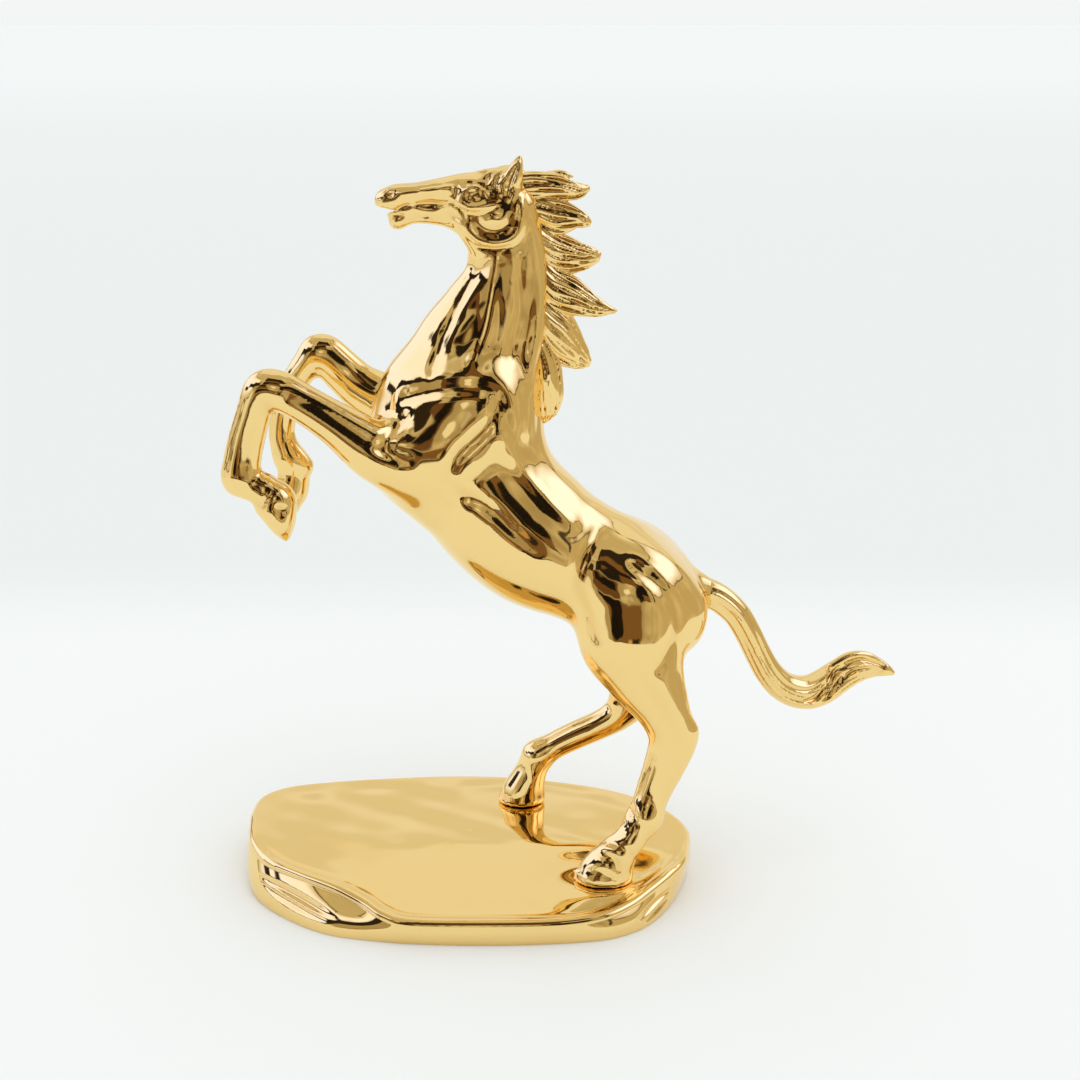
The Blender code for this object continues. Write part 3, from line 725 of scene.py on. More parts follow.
    head_marks: tuple[Mark, ...] = (
        Mark(((-25.4, 261.2, 0.5, 0.5), (-22.4, 261.8, 0.6, 0.9), (-19.8, 263.1, 0.8, 1.0),
              (-17.4, 263.3, 0.6, 0.4)), 0.3),
        Mark(((-22.5, 268.6, 0.7, 0.4), (-18, 269.4, 0.8, 0.6), (-12, 270.4, 0.9, 0.7),
              (-6, 271.1, 0.8, 0.6), (-2.6, 271.4, 0.6, 0.3)), 0.5),
        Mark(((-1.6, 271.6, 0.8, 0.4), (-1.5, 268.8, 1.1, 0.8), (-1.9, 266, 0.8, 0.4)), 0.6),
        Mark(((2.6, 271.6, 0.7, 0.3), (6, 270.6, 0.9, 0.8), (9.4, 269.4, 0.9, 0.8),
              (11.6, 267.6, 0.7, 0.3)), 0.5),
        Mark(((-15.4, 263.5, 1.1, 0.8), (-12.4, 263.5, 1.7, 1.2), (-8.6, 263.6, 1.5, 1.1),
              (-4.6, 264.2, 1.0, 0.6), (-1.4, 263.8, 1.1, 0.9), (0.6, 261.6, 0.9, 0.7),
              (2.2, 258, 0.6, 0.2)), 0.5),
        Mark(((2.6, 266.6, 0.5, 0.3), (3.6, 268.2, 0.6, 0.6), (5.6, 268.4, 0.6, 0.6),
              (7.4, 266.8, 0.5, 0.4)), 0.3),
        Mark(((2.4, 266.2, 0.5, 0.3), (4, 265, 0.6, 0.5), (6.2, 265.2, 0.6, 0.5), (8.2, 266, 0.5, 0.3)),
             0.3),
        Mark(((1.4, 268, 0.7, -0.4), (3.4, 269.6, 0.9, -0.7), (6.4, 269.6, 0.9, -0.7),
              (9.4, 267.6, 0.7, -0.3)), 0.5),
        Mark(((-1, 264.6, 0.9, -0.3), (3, 263.2, 1.1, -0.7), (8, 263.4, 1.1, -0.7), (13, 264.4, 0.9, -0.4)),
             0.8),
        Mark(((3.6, 260.4, 1.4, 0.7), (5.4, 260, 1.8, 1.0), (8.2, 260.4, 1.5, 0.6), (11, 261.4, 1, 0.2)),
             0.9),
        Mark(((5.2, 258, 2.2, 0.8), (8.6, 255.6, 2.4, 1.0), (12.6, 255, 2.3, 1.0), (16, 256.6, 1.9, 0.7),
              (17.4, 260, 1.2, 0.4)), 0.9),
        Mark(((11.4, 259.6, 1.6, -0.3), (13.4, 259, 1.8, -0.5), (15, 259.8, 1.4, -0.3)), 0.8),
        Mark(((21, 266.6, 1.5, -0.4), (21.2, 259.6, 1.9, -0.9), (20, 254.4, 2.0, -1.0),
              (16.4, 251.4, 2.0, -1.0), (11, 250.8, 2.0, -0.9), (6, 252.4, 1.9, -0.8), (2, 256, 1.6, -0.6),
              (-3, 258.6, 1.2, -0.2)), 0.9),
        Mark(((4.6, 249.6, 0.6, 0.2), (8, 248.8, 0.8, 0.6), (13, 248.6, 0.8, 0.6), (17.4, 249.8, 0.6, 0.2)),
             0.6),
        Mark(((-18.6, 257.4, 0.6, 0.2), (-15, 258.9, 0.7, 0.5), (-9.4, 259, 0.7, 0.5), (-4, 258, 0.6, 0.2)),
             0.5),
        Mark(((-24, 259.6, 0.5, 0.3), (-21.6, 259.8, 0.6, 0.6), (-19.8, 258.8, 0.6, 0.6),
              (-20.2, 256.6, 0.5, 0.3)), 0.4),
    )
    body_marks: tuple[Mark, ...] = (
        Mark(((5.6, 241, 1.2, 0.1), (1.4, 235, 1.6, 0.4), (-4.6, 224, 1.8, 0.4), (-8.6, 214, 1.8, 0.35),
              (-11.4, 206, 1.4, 0.1)), 1.6),
        Mark(((12.6, 244, 1.8, -0.1), (10.6, 231, 2.4, -0.3), (8.4, 219, 2.4, -0.3), (4, 209, 2.0, -0.1)),
             2.4),
        Mark(((21.6, 246, 1.4, 0.3), (21.2, 237, 1.7, 0.5), (21.6, 228, 1.8, 0.5), (19.4, 217, 1.7, 0.4),
              (17.6, 211, 1.4, 0.1)), 1.6),
        Mark(((-21, 197.4, 1.8, 0.1), (-11, 200.6, 2.4, 0.25), (2.6, 202, 2.6, 0.3), (13.4, 199.4, 2.4, 0.3),
              (16.8, 188, 2.2, 0.3), (16.8, 181, 2.0, 0.1)), 2.6),
        Mark(((-4.2, 171.6, 2.2, 0.4), (-0.4, 178.4, 3.0, 1.3), (5.4, 183.6, 3.0, 1.4),
              (10.4, 189, 2.6, 0.9), (13.6, 196, 2.0, 0.2)), 2.2),
        Mark(((-6, 168.4, 2.0, 0.3), (0.5, 162.8, 2.4, 1.2), (6.5, 160.2, 2.4, 1.1), (12.5, 155.9, 2.4, 0.8),
              (19, 149.5, 2.2, 0.5), (27, 143, 2.0, 0.1)), 1.8),
        Mark(((13.8, 183, 2.6, -0.3), (19.1, 172.4, 3.2, -0.7), (28, 161, 3.2, -0.7),
              (38.9, 150, 2.8, -0.2)), 3.0),
        Mark(((50, 148, 2.6, 0.2), (44.6, 139, 3.2, 1.2), (42, 128.4, 3.4, 1.5), (44.2, 120, 3.0, 1.0),
              (48, 109, 2.4, 0.2)), 2.4),
        Mark(((62, 138, 2.4, 0.1), (72, 130, 2.8, 0.3), (78.6, 119, 2.8, 0.5), (77.6, 108, 2.6, 0.5),
              (72, 99, 2.2, 0.2)), 2.4),
        Mark(((64.6, 97, 1.8, 0.2), (72, 86.6, 2.2, 0.9), (77.6, 76.4, 1.9, 0.8), (80.4, 69, 1.5, 0.2)),
             1.6),
    )
    near_marks: tuple[Mark, ...] = (
        Mark(((-21, 191, 2.0, 0.2), (-25.4, 185, 2.4, 1.2), (-26.6, 179.4, 2.2, 1.1),
              (-22.4, 174.6, 1.8, 0.3)), 1.6),
        Mark(((-60, 199, 2.0, 0.1), (-50, 194.6, 2.6, 0.5), (-38, 186.6, 3.0, 0.8), (-28, 180.4, 3.0, 0.8),
              (-19, 176, 2.6, 0.2)), 2.5),
        Mark(((-71.6, 193, 1.4, 0.1), (-74.6, 184, 1.7, 0.4), (-76.8, 174.6, 1.6, 0.4),
              (-77.8, 170.4, 1.4, 0.1)), 1.5),
        Mark(((-67, 158.4, 1.6, 0.5), (-64.6, 157.6, 1.9, 1.4), (-64.9, 154.6, 1.4, 0.7)), 0.5),
        Mark(((-75.6, 160.4, 0.8, 0.2), (-71.6, 159.2, 1.0, 0.7), (-68.4, 164.6, 1.0, 0.6)), 0.6),
        Mark(((59.6, 44.2, 0.9, 0.3), (62, 42, 1.6, 1.0), (64.2, 38.4, 1.5, 0.9), (64.4, 35.6, 0.8, 0.3)),
             0.5),
        Mark(((47.6, 26.4, 0.7, 0.4), (52, 30, 0.9, 0.7), (57.4, 30.4, 0.9, 0.7), (62.4, 26.6, 0.8, 0.5),
              (65, 21, 0.6, 0.3)), 0.5),
        Mark(((51, 27, 1.4, 0.5), (55.6, 25, 1.9, 1.0), (58, 20.8, 1.6, 0.7)), 0.6),
        Mark(((45.4, 20.4, 0.8, 0.2), (51, 20.4, 1.2, 0.4), (56.6, 17.4, 0.9, 0.2)), 0.7),
        Mark(((40.4, 17.6, 0.7, -0.2), (47, 16.2, 0.9, -0.3), (56, 15.8, 0.9, -0.3), (63, 17, 0.7, -0.2)),
             0.7),
    )
    sole_reach: float = 16.0
    sole_band: float = 0.6
    free_rounds: int = 5
    held_rounds: int = 26
    holds: tuple[Hold, ...] = (Hold(2, 1, 238.0, 6.0, 0.82), Hold(2, -1, 34.0, 4.0, 0.75),
                               Hold(0, -1, -58.0, 6.0, 0.7))
    grid: Grid = (((-91.0, 1.15), (-33.0, 0.75), (27.0, 1.15), (95.0, 1.0)),
                  ((-45.0, 1.15), (-11.0, 0.75), (11.0, 1.15), (38.0, 1.0)),
                  ((11.0, 1.15), (241.0, 0.65), (284.0, 1.0)))

    def model(self) -> Clay:
        """Build up the clay: trunk, muscles, legs and head, softened, then the hooves and the carving.

        Returns:
            The clay.
        """
        clay = clay_block(self.grid)
        clay.add(*self.trunk, *twinned(self.paired), *self.legs, *self.head)
        clay.add(*twinned((self.crest_muscle, self.nose_edge)), self.dock)
        clay.soften(2)
        clay.add(*self.hooves)
        for mark in self.body_marks:
            clay.draw(mark, Side.NEAR)
            clay.draw(mark, Side.FAR)
        clay.soften(1)
        for mark in self.near_marks:
            clay.draw(mark, Side.NEAR)
        clay.carve(self.mouth)
        for mark in self.head_marks:
            clay.draw(mark, Side.NEAR)
            clay.draw(mark, Side.FAR)
        clay.carve(*twinned((self.nostril,)))
        clay.add(*twinned((self.eyeball, self.ear)))
        clay.carve(*twinned((self.ear_hollow,)))
        clay.add(*twinned(self.tufts))
        for middle, height in SEATS:
            clay.level_sole(middle, self.sole_reach, height)
        return clay

    def under_hoof(self, points: np.ndarray, middle: Row) -> np.ndarray:
        """Return which points lie within reach of a sole's middle, whatever their height."""
        return np.hypot(points[:, 0] - middle[0], points[:, 1] - middle[1]) < self.sole_reach

    def build(self, material: bpy.types.Material) -> bpy.types.Object:
        """Skin the clay, smooth it with its soles and fine relief held, level the soles and dress it.

        Args:
            material: Its finish.

        Returns:
            The finished piece.
        """
        skin = self.model().skin()
        soles = np.zeros(len(skin.points), bool)
        for middle, height in SEATS:
            low = np.abs(skin.points[:, 2] - height - SOLE_CLEARANCE) < self.sole_band
            soles |= low & self.under_hoof(skin.points, middle)
        kept = soles.astype(float)
        skin.relax(self.free_rounds, kept)
        for hold in self.holds:
            kept = np.maximum(kept, hold.weights(skin.points))
        skin.relax(self.held_rounds, kept)
        for middle, height in SEATS:
            flat = self.under_hoof(skin.points, middle) & (skin.points[:, 2] < height + SOLE_CLEARANCE)
            skin.points[flat, 2] = height + SOLE_CLEARANCE
        return skin.piece("horse_body", Slot.FIGURE, "horse", material)


@dataclass(frozen=True)
class Lock:
    """A lock of hair between two edges, each of x and z from the neck to the lock's tip.

    The middle gives the lock's y and its half thickness at its root, its belly and its tip.
    """

    upper: Rows
    lower: Rows
    middle: Rows
    strands: int
    wave: float = 0.42

    def limbs(self, side: int) -> list[Limb]:
        """Lay strands side by side from edge to edge.

        A strand a share f of the way down follows (1 - f) of the upper edge and f of the lower one, plus a
        sine wave. Its y stands off the lock's middle by the half thickness times 0.42 + 0.4 sin(pi f), and
        0.05 more on every other strand. Strands widen past 0.62 of their length, and every other one ends
        early. On side 0 the strands are the thick filling between the two faces.

        Args:
            side: -1 for the near face, 1 for the far face and 0 for the filling.

        Returns:
            The strands.
        """
        upper, lower = smooth_rows(self.upper, 5), smooth_rows(self.lower, 5)
        run = np.linspace(0.0, 1.0, len(upper))
        spine = smooth_rows(self.middle, 16)
        places = np.linspace(0.0, 1.0, len(spine))
        level = np.interp(run, places, spine[:, 0])
        thick = np.interp(run, places, spine[:, 1])
        gap = np.hypot(*(upper - lower).T) / (self.strands - 1)
        limbs = []
        for number in range(self.strands):
            share = (0.35 + number * (self.strands - 1.7) / (self.strands - 1)) / (self.strands - 1)
            middle = upper * (1 - share) + lower * share
            sway = self.wave * np.sin(6.0 * run + 2.4 * number + side) * np.sin(np.pi * run)
            if side == 0:
                deep = np.clip(0.8 * gap, 0.4, 2.2)
                wide = np.maximum(thick * (0.26 + 0.34 * math.sin(math.pi * share)), 0.4)
                off = np.zeros_like(run)
                blend = 0.6
            else:
                deep = np.clip(0.53 * gap * (1 + eased((run - 0.62) / 0.3)), 0.46, 1.15)
                deep = deep * (1 - 0.4 * eased((run - 0.85) / 0.15))
                wide = deep
                off = side * thick * (0.42 + 0.4 * math.sin(math.pi * share) + 0.05 * (number % 2))
                blend = 0.12
            rows = np.column_stack([middle[:, 0], level + off, middle[:, 1] + sway, deep, wide])[::2]
            if side != 0 and number % 2 == 1:
                kept = int(len(rows) * (0.78 + 0.12 * math.sin(3.1 * number)))
                rows = rows[:kept]
                rows[-1, 3:5] = 0.4
            limbs.append(Limb(tuple(map(tuple, rows)), blend, 2))
        return limbs


@dataclass
class Mane:
    """The mane: a crest along the neck and locks that stream back from it, each of strands side by side."""

    crest: Limb = Limb(((24, 0, 266, 4, 2.4), (28.6, 0, 256, 3.6, 2.6), (31, 0, 246, 3, 2.8),
                        (31.6, 0, 232, 3, 3), (31, 0, 220, 3.4, 3.2), (29.4, 0, 208, 3.6, 3.6),
                        (29, 0, 196, 3, 3.2), (29, 0, 189, 2, 2)), 1)
    locks: tuple[Lock, ...] = (
        Lock(((20.4, 273.7), (25, 274), (31, 273.5), (35.6, 272.8), (38.8, 271.6), (42, 270.2),
              (45.2, 269.7)),
             ((22, 264.1), (26, 264.5), (31, 265), (36, 265.2), (40, 265.2), (43.2, 266), (45.2, 267.6)),
             ((0, 4.4), (0.6, 3.4), (1.4, 1)), 7),
        Lock(((23, 265.8), (28, 265.4), (33, 264.6), (38, 263.4), (42.2, 261.6), (44.6, 259.8),
              (45.9, 257.8)),
             ((24, 259), (28.6, 256), (33.6, 253.4), (38, 253.8), (41, 255), (43.4, 255.2), (45.4, 255.8)),
             ((0, 4.6), (-0.6, 3.6), (-1.6, 1)), 8),
        Lock(((24.6, 260.4), (29.4, 256.2), (34.4, 253), (39.4, 251), (43.6, 249.2), (47.2, 247.6),
              (49.6, 246)),
             ((28.8, 242.8), (31.4, 240.2), (34.6, 239), (38.4, 239), (42.4, 239.8), (46.2, 241),
              (48.8, 242.6)),
             ((0, 5), (0.8, 4), (1.6, 1)), 12),
        Lock(((29, 245.8), (32.6, 241.4), (37, 238.8), (41.6, 236.5), (46.4, 232.5), (51, 228.7),
              (55.2, 225.7)),
             ((29.4, 228.4), (32, 226), (35.6, 224.6), (39.6, 223.8), (44.4, 223.4), (49.6, 223.6),
              (55, 225.2)),
             ((0, 5), (-0.8, 4), (-1.8, 0.7)), 11),
        Lock(((29.2, 231), (33, 228), (37.2, 225), (40.4, 220.6), (43, 215.8), (45.2, 210.8), (46.5, 207)),
             ((28.8, 214.4), (31, 210.8), (33.2, 207.8), (36.2, 205.8), (39.6, 204.6), (43, 203.8),
              (45.6, 204.4)),
             ((0, 5.2), (0.6, 4.4), (1.8, 1.1)), 10),
        Lock(((29.6, 216.8), (32.6, 212.2), (34.8, 206.8), (35.8, 200.4), (36, 194), (34.2, 188.6),
              (31.4, 185)),
             ((26.6, 207.4), (26.2, 203.4), (25.8, 199.4), (25.8, 195.4), (26, 191.4), (27, 187.4),
              (29, 184)),
             ((0, 5.6), (-0.4, 5), (-1, 1.4)), 9),
    )
    wisps: tuple[Limb, ...] = (
        Limb(((31, 1.6, 273.4, 1.4, 1.3), (35.6, 1.8, 273.8, 1.3, 1.2), (39.4, 2, 272.8, 0.6, 0.6)), 0.3),
        Limb(((36, -2.6, 260.6, 1.3, 1.2), (40.6, -3, 259.4, 1, 1), (43.8, -3, 257, 0.6, 0.6)), 0.3),
        Limb(((38, -2.8, 233.6, 1.4, 1.2), (44.6, -3, 229.6, 1.1, 1), (50.6, -2.8, 226.6, 0.6, 0.6)), 0.3),
        Limb(((37, -2.4, 216, 1.4, 1.2), (41, -2, 210.6, 1.1, 1.1), (41.6, -1.6, 206.2, 0.7, 0.6)), 0.3),
        Limb(((31.6, -4.4, 203, 1.3, 1.2), (33.4, -4, 196, 1.1, 1.1), (31.6, -3, 190, 0.7, 0.6)), 0.3),
    )
    grid: Grid = (((16.0, 0.42), (58.0, 1.0)), ((-9.0, 0.42), (9.0, 1.0)), ((180.0, 0.42), (278.0, 1.0)))

    def build(self, material: bpy.types.Material) -> bpy.types.Object:
        """Model the mane on a fine grid of its own and dress it.

        Args:
            material: Its finish.

        Returns:
            The finished piece.
        """
        clay = clay_block(self.grid)
        clay.add(self.crest)
        for side in (0, Side.NEAR.value, Side.FAR.value):
            for lock in self.locks:
                clay.add(*lock.limbs(side))
        clay.add(*self.wisps)
        skin = clay.skin()
        skin.relax(1)
        return skin.piece("horse_mane", Slot.FIGURE, "horse", material)


@dataclass
class Tail:
    """The tail: one thick lock that swings up and outwards, scored by long grooves, with loose tips.

    A score gives how far off the middle it runs, as a share of the half depth, its half width and its depth.
    """

    rows: Rows = ((86, 0, 119.4, 4.8, 4.2), (92, 0, 117.3, 5.3, 4.9), (97.4, 0, 114.3, 5.1, 4.9),
                  (103.2, 0, 108.7, 4.9, 5), (107.6, 0, 101.3, 4.8, 5), (111.6, 1, 93.1, 4.8, 5.1),
                  (116, 2, 85.1, 5, 5.5), (121.3, 4, 78.6, 5.4, 6), (127.5, 6, 74.8, 5.9, 6.4),
                  (133.7, 8, 73.7, 6.3, 6.5), (139.6, 10, 75.3, 6.5, 6.2), (145, 12, 78.3, 6.3, 5.6),
                  (150.2, 13, 81, 6, 4.9), (155.4, 14, 82, 5.2, 4.2), (160.3, 15, 81.4, 3.9, 3),
                  (164.4, 15, 80.1, 2.5, 2), (167.2, 15, 78.9, 1.1, 1))
    scores: Rows = ((-0.64, 0.8, 0.9), (-0.24, 1.1, 1.4), (0.18, 1.0, 1.2), (0.58, 0.9, 1.0))
    deep_marks: tuple[Mark, ...] = (
        Mark(((131, 72.4, 0.9, 0.6), (136, 73.4, 1.5, 1.9), (140.4, 78.4, 1.3, 1.8), (144.6, 84, 0.8, 0.6)),
             0.5),
        Mark(((136, 71, 0.9, 0.8), (140, 73, 1.3, 1.6), (144, 78, 1.2, 1.5), (148.4, 83, 0.8, 0.5)), 0.5),
        Mark(((145, 77.4, 0.8, 0.6), (150, 81.6, 1, 1.2), (156, 82.4, 0.9, 1), (161, 81.4, 0.6, 0.4)), 0.4),
        Mark(((148, 85, 0.8, 0.5), (154, 86, 1, 1), (160, 84, 0.8, 0.7), (164.4, 81.8, 0.5, 0.3)), 0.4),
    )
    wisps: tuple[Limb, ...] = (
        Limb(((146, 11, 76.6, 2, 2), (152, 12.6, 77.2, 1.8, 1.7), (157, 13.6, 78.2, 1.2, 1.2),
              (160.6, 14.2, 78.4, 0.6, 0.6)), 0.5),
        Limb(((142, 9, 84, 1.8, 1.8), (149, 11, 87.4, 1.8, 1.7), (156, 13, 87, 1.6, 1.5),
              (162, 14.6, 83.8, 1.1, 1.1), (166.8, 15, 80.2, 0.6, 0.6)), 0.6),
    )
    fullness: float = 1.07
    grid: Grid = (((80.0, 0.5), (170.0, 1.0)), ((-9.0, 0.5), (24.0, 1.0)), ((64.0, 0.5), (128.0, 1.0)))

    def grooves(self) -> list[Mark]:
        """Run grooves along the tail: each lies a share of the half depth off the middle and waves a little.

        Returns:
            The grooves. Each one fades in over the first 0.16 of the tail and out over the last 0.12.
        """
        curve = smooth_rows(self.rows, 2)
        ahead = np.gradient(curve[:, [0, 2]], axis=0)
        ahead /= np.linalg.norm(ahead, axis=1)[:, None]
        across = np.column_stack([-ahead[:, 1], ahead[:, 0]])
        run = np.linspace(0.0, 1.0, len(curve))
        marks = []
        for number, (share, wide, depth) in enumerate(self.scores):
            off = share + 0.07 * np.sin(11.0 * run + 1.9 * number)
            places = curve[:, [0, 2]] + across * (off * curve[:, 3])[:, None]
            fade = eased(run / 0.16) * eased((1 - run) / 0.12) * (0.8 + 0.2 * np.sin(9.0 * run + number))
            rows = np.column_stack([places, wide + 0.2 + 0 * run, np.maximum(depth * fade, 0.02)])[2:-3]
            marks.append(Mark(tuple(map(tuple, rows)), 0.4, 2))
        return marks

    def build(self, material: bpy.types.Material) -> bpy.types.Object:
        """Model the tail on a fine grid of its own and dress it.

        Args:
            material: Its finish.

        Returns:
            The finished piece.
        """
        clay = clay_block(self.grid)
        more = self.fullness
        full = tuple((x, y, z, deep * more, wide * more) for x, y, z, deep, wide in self.rows)
        clay.add(Limb(full, 2), *self.wisps)
        for side in Side:
            for mark in (*self.grooves(), *self.deep_marks):
                clay.draw(mark, side)
        skin = clay.skin()
        skin.relax(6)
        return skin.piece("horse_tail", Slot.FIGURE, "horse", material)


@dataclass
class Slab:
    """The plinth: a wavy slab with a rolled rim, two hollows in its front edge and a seat for each hoof.

    A row of the rim gives x, y and a share of the front dip, and a row of the foot gives x and y. A scoop
    gives its middle, its half length, depth and half height, and its pitch and heading in degrees.
    """

    height: float = 18.0
    front_dip: float = 8.0
    rim_round: float = 2.5
    bulge: float = 1.0
    foot_tuck: float = 0.8
    spokes: int = 480
    edge_rings: int = 56
    round_rings: int = 8
    top_rings: int = 76
    ring_crowding: float = 1.35
    middle_drop: float = 0.16
    rim: Rows = ((86.8, -8, 0.1), (84.2, -22, 0.12), (79, -31, 0.17), (70.9, -39.4, 0.45), (62, -47.4, 0.75),
                 (50.6, -53.9, 0.94), (34, -57.5, 1), (8, -58.5, 1), (-20, -57.5, 1), (-31, -54, 0.84),
                 (-39, -48, 0.58), (-50, -41.5, 0.27), (-65, -33, 0.11), (-78, -23, 0.05), (-86, -8, 0),
                 (-88.8, 8, 0), (-89.7, 21, 0), (-87.5, 33, 0), (-78, 41.5, 0), (-60, 46.5, 0), (-38, 50, 0),
                 (-13, 52.5, 0), (11, 52, 0), (30, 48.5, 0), (54, 40.4, 0), (70.5, 30, 0), (81.6, 17.4, 0),
                 (87.4, 4, 0.05))
    foot: Rows = ((86.6, 3), (84, -11.5), (78.2, -28), (68.8, -43.2), (57.2, -51.8), (43.6, -55.4),
                  (20, -57.4), (-5, -57.4), (-24, -56), (-45.6, -51.9), (-57.2, -46.7), (-69.8, -37),
                  (-79.8, -26), (-85.2, -15), (-87.6, 0), (-87, 18), (-84, 30.5), (-75, 38.5), (-58, 43.5),
                  (-36, 47), (-13, 49.5), (11, 49), (29, 45.5), (53, 37.4), (68, 27.6), (79, 15.4))
    sway: float = 0.3
    fine_sway: float = 0.1
    settling: float = 0.25
    groove_depth: float = 0.5
    seat_radius: float = 8.8
    seat_blend: float = 16.0
    seat_stretch: float = 1.4
    scoop_reach: float = 7.5
    scoops: tuple[tuple[Row, Row, float, float], ...] = (
        ((-64.2, -37.8, 8.4), (22.5, 2.0, 3.4), -6, -36), ((71.6, -38.6, 6.4), (14, 2.2, 3.8), 12, 50))

    def outline(self, rows: Rows, column: int | None, angles: np.ndarray) -> np.ndarray:
        """Read a closed outline where each spoke crosses it.

        Args:
            rows: The outline's points.
            column: The column that is read, or None for the radius.
            angles: The spokes' angles.

        Returns:
            One value a spoke.
        """
        points = smooth_rows(rows, 6, closed=True)
        values = np.hypot(points[:, 0], points[:, 1]) if column is None else points[:, column]
        around = np.mod(np.arctan2(points[:, 1], points[:, 0]), 2 * np.pi)
        order = np.argsort(around)
        return np.interp(angles, around[order], values[order], period=2 * np.pi)

    def top(self, x: np.ndarray, y: np.ndarray, reach: np.ndarray, rim_height: np.ndarray) -> np.ndarray:
        """Work out the top's height.

        It sinks from the middle to the rim by an eased share, sways by two products of sines that settle
        towards the rim, dips in a shallow bell-shaped groove behind the front rim, and runs level over each
        seat.

        Args:
            x: Places along the slab.
            y: Places across it.
            reach: How far out each place lies, from 0 in the middle to 1 at the rim.
            rim_height: The rim's height at each place's spoke.

        Returns:
            The heights.
        """
        sunk = eased((reach - 0.15) / 0.85)
        height = self.height * (1 - sunk) + rim_height * sunk
        sway = self.sway * np.sin(x / 13.0 + 0.6 * np.sin(y / 11.0)) * np.cos(y / 15.0 + x / 40.0)
        sway = sway + self.fine_sway * np.sin(x / 4.6 + y / 9.0) * np.sin(y / 5.4 - x / 17.0)
        height = height + (sway - self.settling) * eased((1 - reach) / 0.2)
        inward = (1 - reach) * np.hypot(x, y) / np.maximum(reach, 0.05)
        groove = self.groove_depth * np.exp(-(((inward - 2.6) / 1.5) ** 2))
        height = height - groove * eased((-8.0 - y) / 18.0)
        for (seat_x, seat_y), level in SEATS:
            away = np.hypot((x - seat_x) / self.seat_stretch, y - seat_y)
            seated = eased((self.seat_radius + self.seat_blend - away) / self.seat_blend)
            share = seated * eased((1 - reach) / 0.12)
            height = height * (1 - share) + level * share
        return height

    def scooped(self, points: np.ndarray) -> np.ndarray:
        """Press two lens-shaped hollows into the edge, each with a ridge along its middle.

        With s and t the place along and up a hollow in half lengths, the edge moves in by the depth times
        1 - s squared - t squared to the power 1.5, less six tenths on the ridge.

        Args:
            points: The slab's points, one a row.

        Returns:
            The pressed points.
        """
        for middle, halves, pitch, heading in self.scoops:
            rows = turned(pitch, heading, 0.0)
            local = (points - np.array(middle)) @ rows.T
            along, above = local[:, 0] / halves[0], local[:, 2] / halves[2]
            press = halves[1] * np.clip(1 - along**2 - above**2, 0.0, None) ** 1.5
            press = press * (1 - 0.6 * np.exp(-(((above + 0.15) / 0.26) ** 2)))
            local[:, 1] += np.where(np.abs(local[:, 1]) < self.scoop_reach, press, 0.0)
            points = local @ rows + np.array(middle)
        return points

    def rings(self) -> np.ndarray:
        """Lay the slab's rings from the underside up the edge, round the rim and in over the top.

        Up the edge, the radius eases from the foot's to the rim's by a squared share, plus half a sine wave
        of bulge. Round the rim it follows a quarter circle.

        Returns:
            The points by ring, spoke and direction.
        """
        angles = 2 * np.pi * np.arange(self.spokes) / self.spokes
        rim = self.outline(self.rim, None, angles)
        foot = self.outline(self.foot, None, angles)
        rim_height = self.height - self.front_dip * self.outline(self.rim, 2, angles)
        rings = [(foot - self.foot_tuck, 0 * angles)]
        for step in range(self.edge_rings):
            share = (step + 1) / (self.edge_rings + 1)
            radius = foot * (1 - share**2) + rim * share**2 + self.bulge * math.sin(math.pi * share)
            rings.append((radius, share * (rim_height - self.rim_round)))
        for step in range(self.round_rings):
            bend = math.pi / 2 * step / self.round_rings
            rings.append((rim - self.rim_round * (1 - math.cos(bend)),
                          rim_height - self.rim_round * (1 - math.sin(bend))))
        for step in range(self.top_rings):
            reach = 1 - (step / self.top_rings) ** self.ring_crowding
            radius = (rim - self.rim_round) * reach
            x, y = radius * np.cos(angles), radius * np.sin(angles)
            rings.append((radius, self.top(x, y, np.full_like(x, reach), rim_height)))
        return np.array([np.column_stack([r * np.cos(angles), r * np.sin(angles), z]) for r, z in rings])

    def build(self, material: bpy.types.Material) -> bpy.types.Object:
        """Bridge the rings, close the middle of the top and the underside, scoop the edge and dress it.

        Args:
            material: Its finish.

        Returns:
            The finished piece.
        """
        rings = self.rings()
        count = len(rings)
        middles = [[0.0, 0.0, self.height - self.middle_drop], [0.0, 0.0, 0.0]]
        points = self.scooped(np.vstack([rings.reshape(-1, 3), middles]))
        spoke = np.arange(self.spokes)
        following = (spoke + 1) % self.spokes
        faces = []
        for ring in range(count - 1):
            low, high = ring * self.spokes, (ring + 1) * self.spokes
            faces.append(np.column_stack([low + spoke, low + following, high + following, high + spoke]))
        top, under = count * self.spokes, count * self.spokes + 1
        last = (count - 1) * self.spokes
        quads = np.vstack(faces)
        closing = np.vstack([
            np.column_stack([last + spoke, last + following, np.full_like(spoke, top)]),
            np.column_stack([following, spoke, np.full_like(spoke, under)]),
        ])
        triangles = np.vstack([quads[:, [0, 1, 2]], quads[:, [0, 2, 3]], closing])
        return Skin(points, triangles).piece("slab_plinth", Slot.SLAB, "plinth", material)


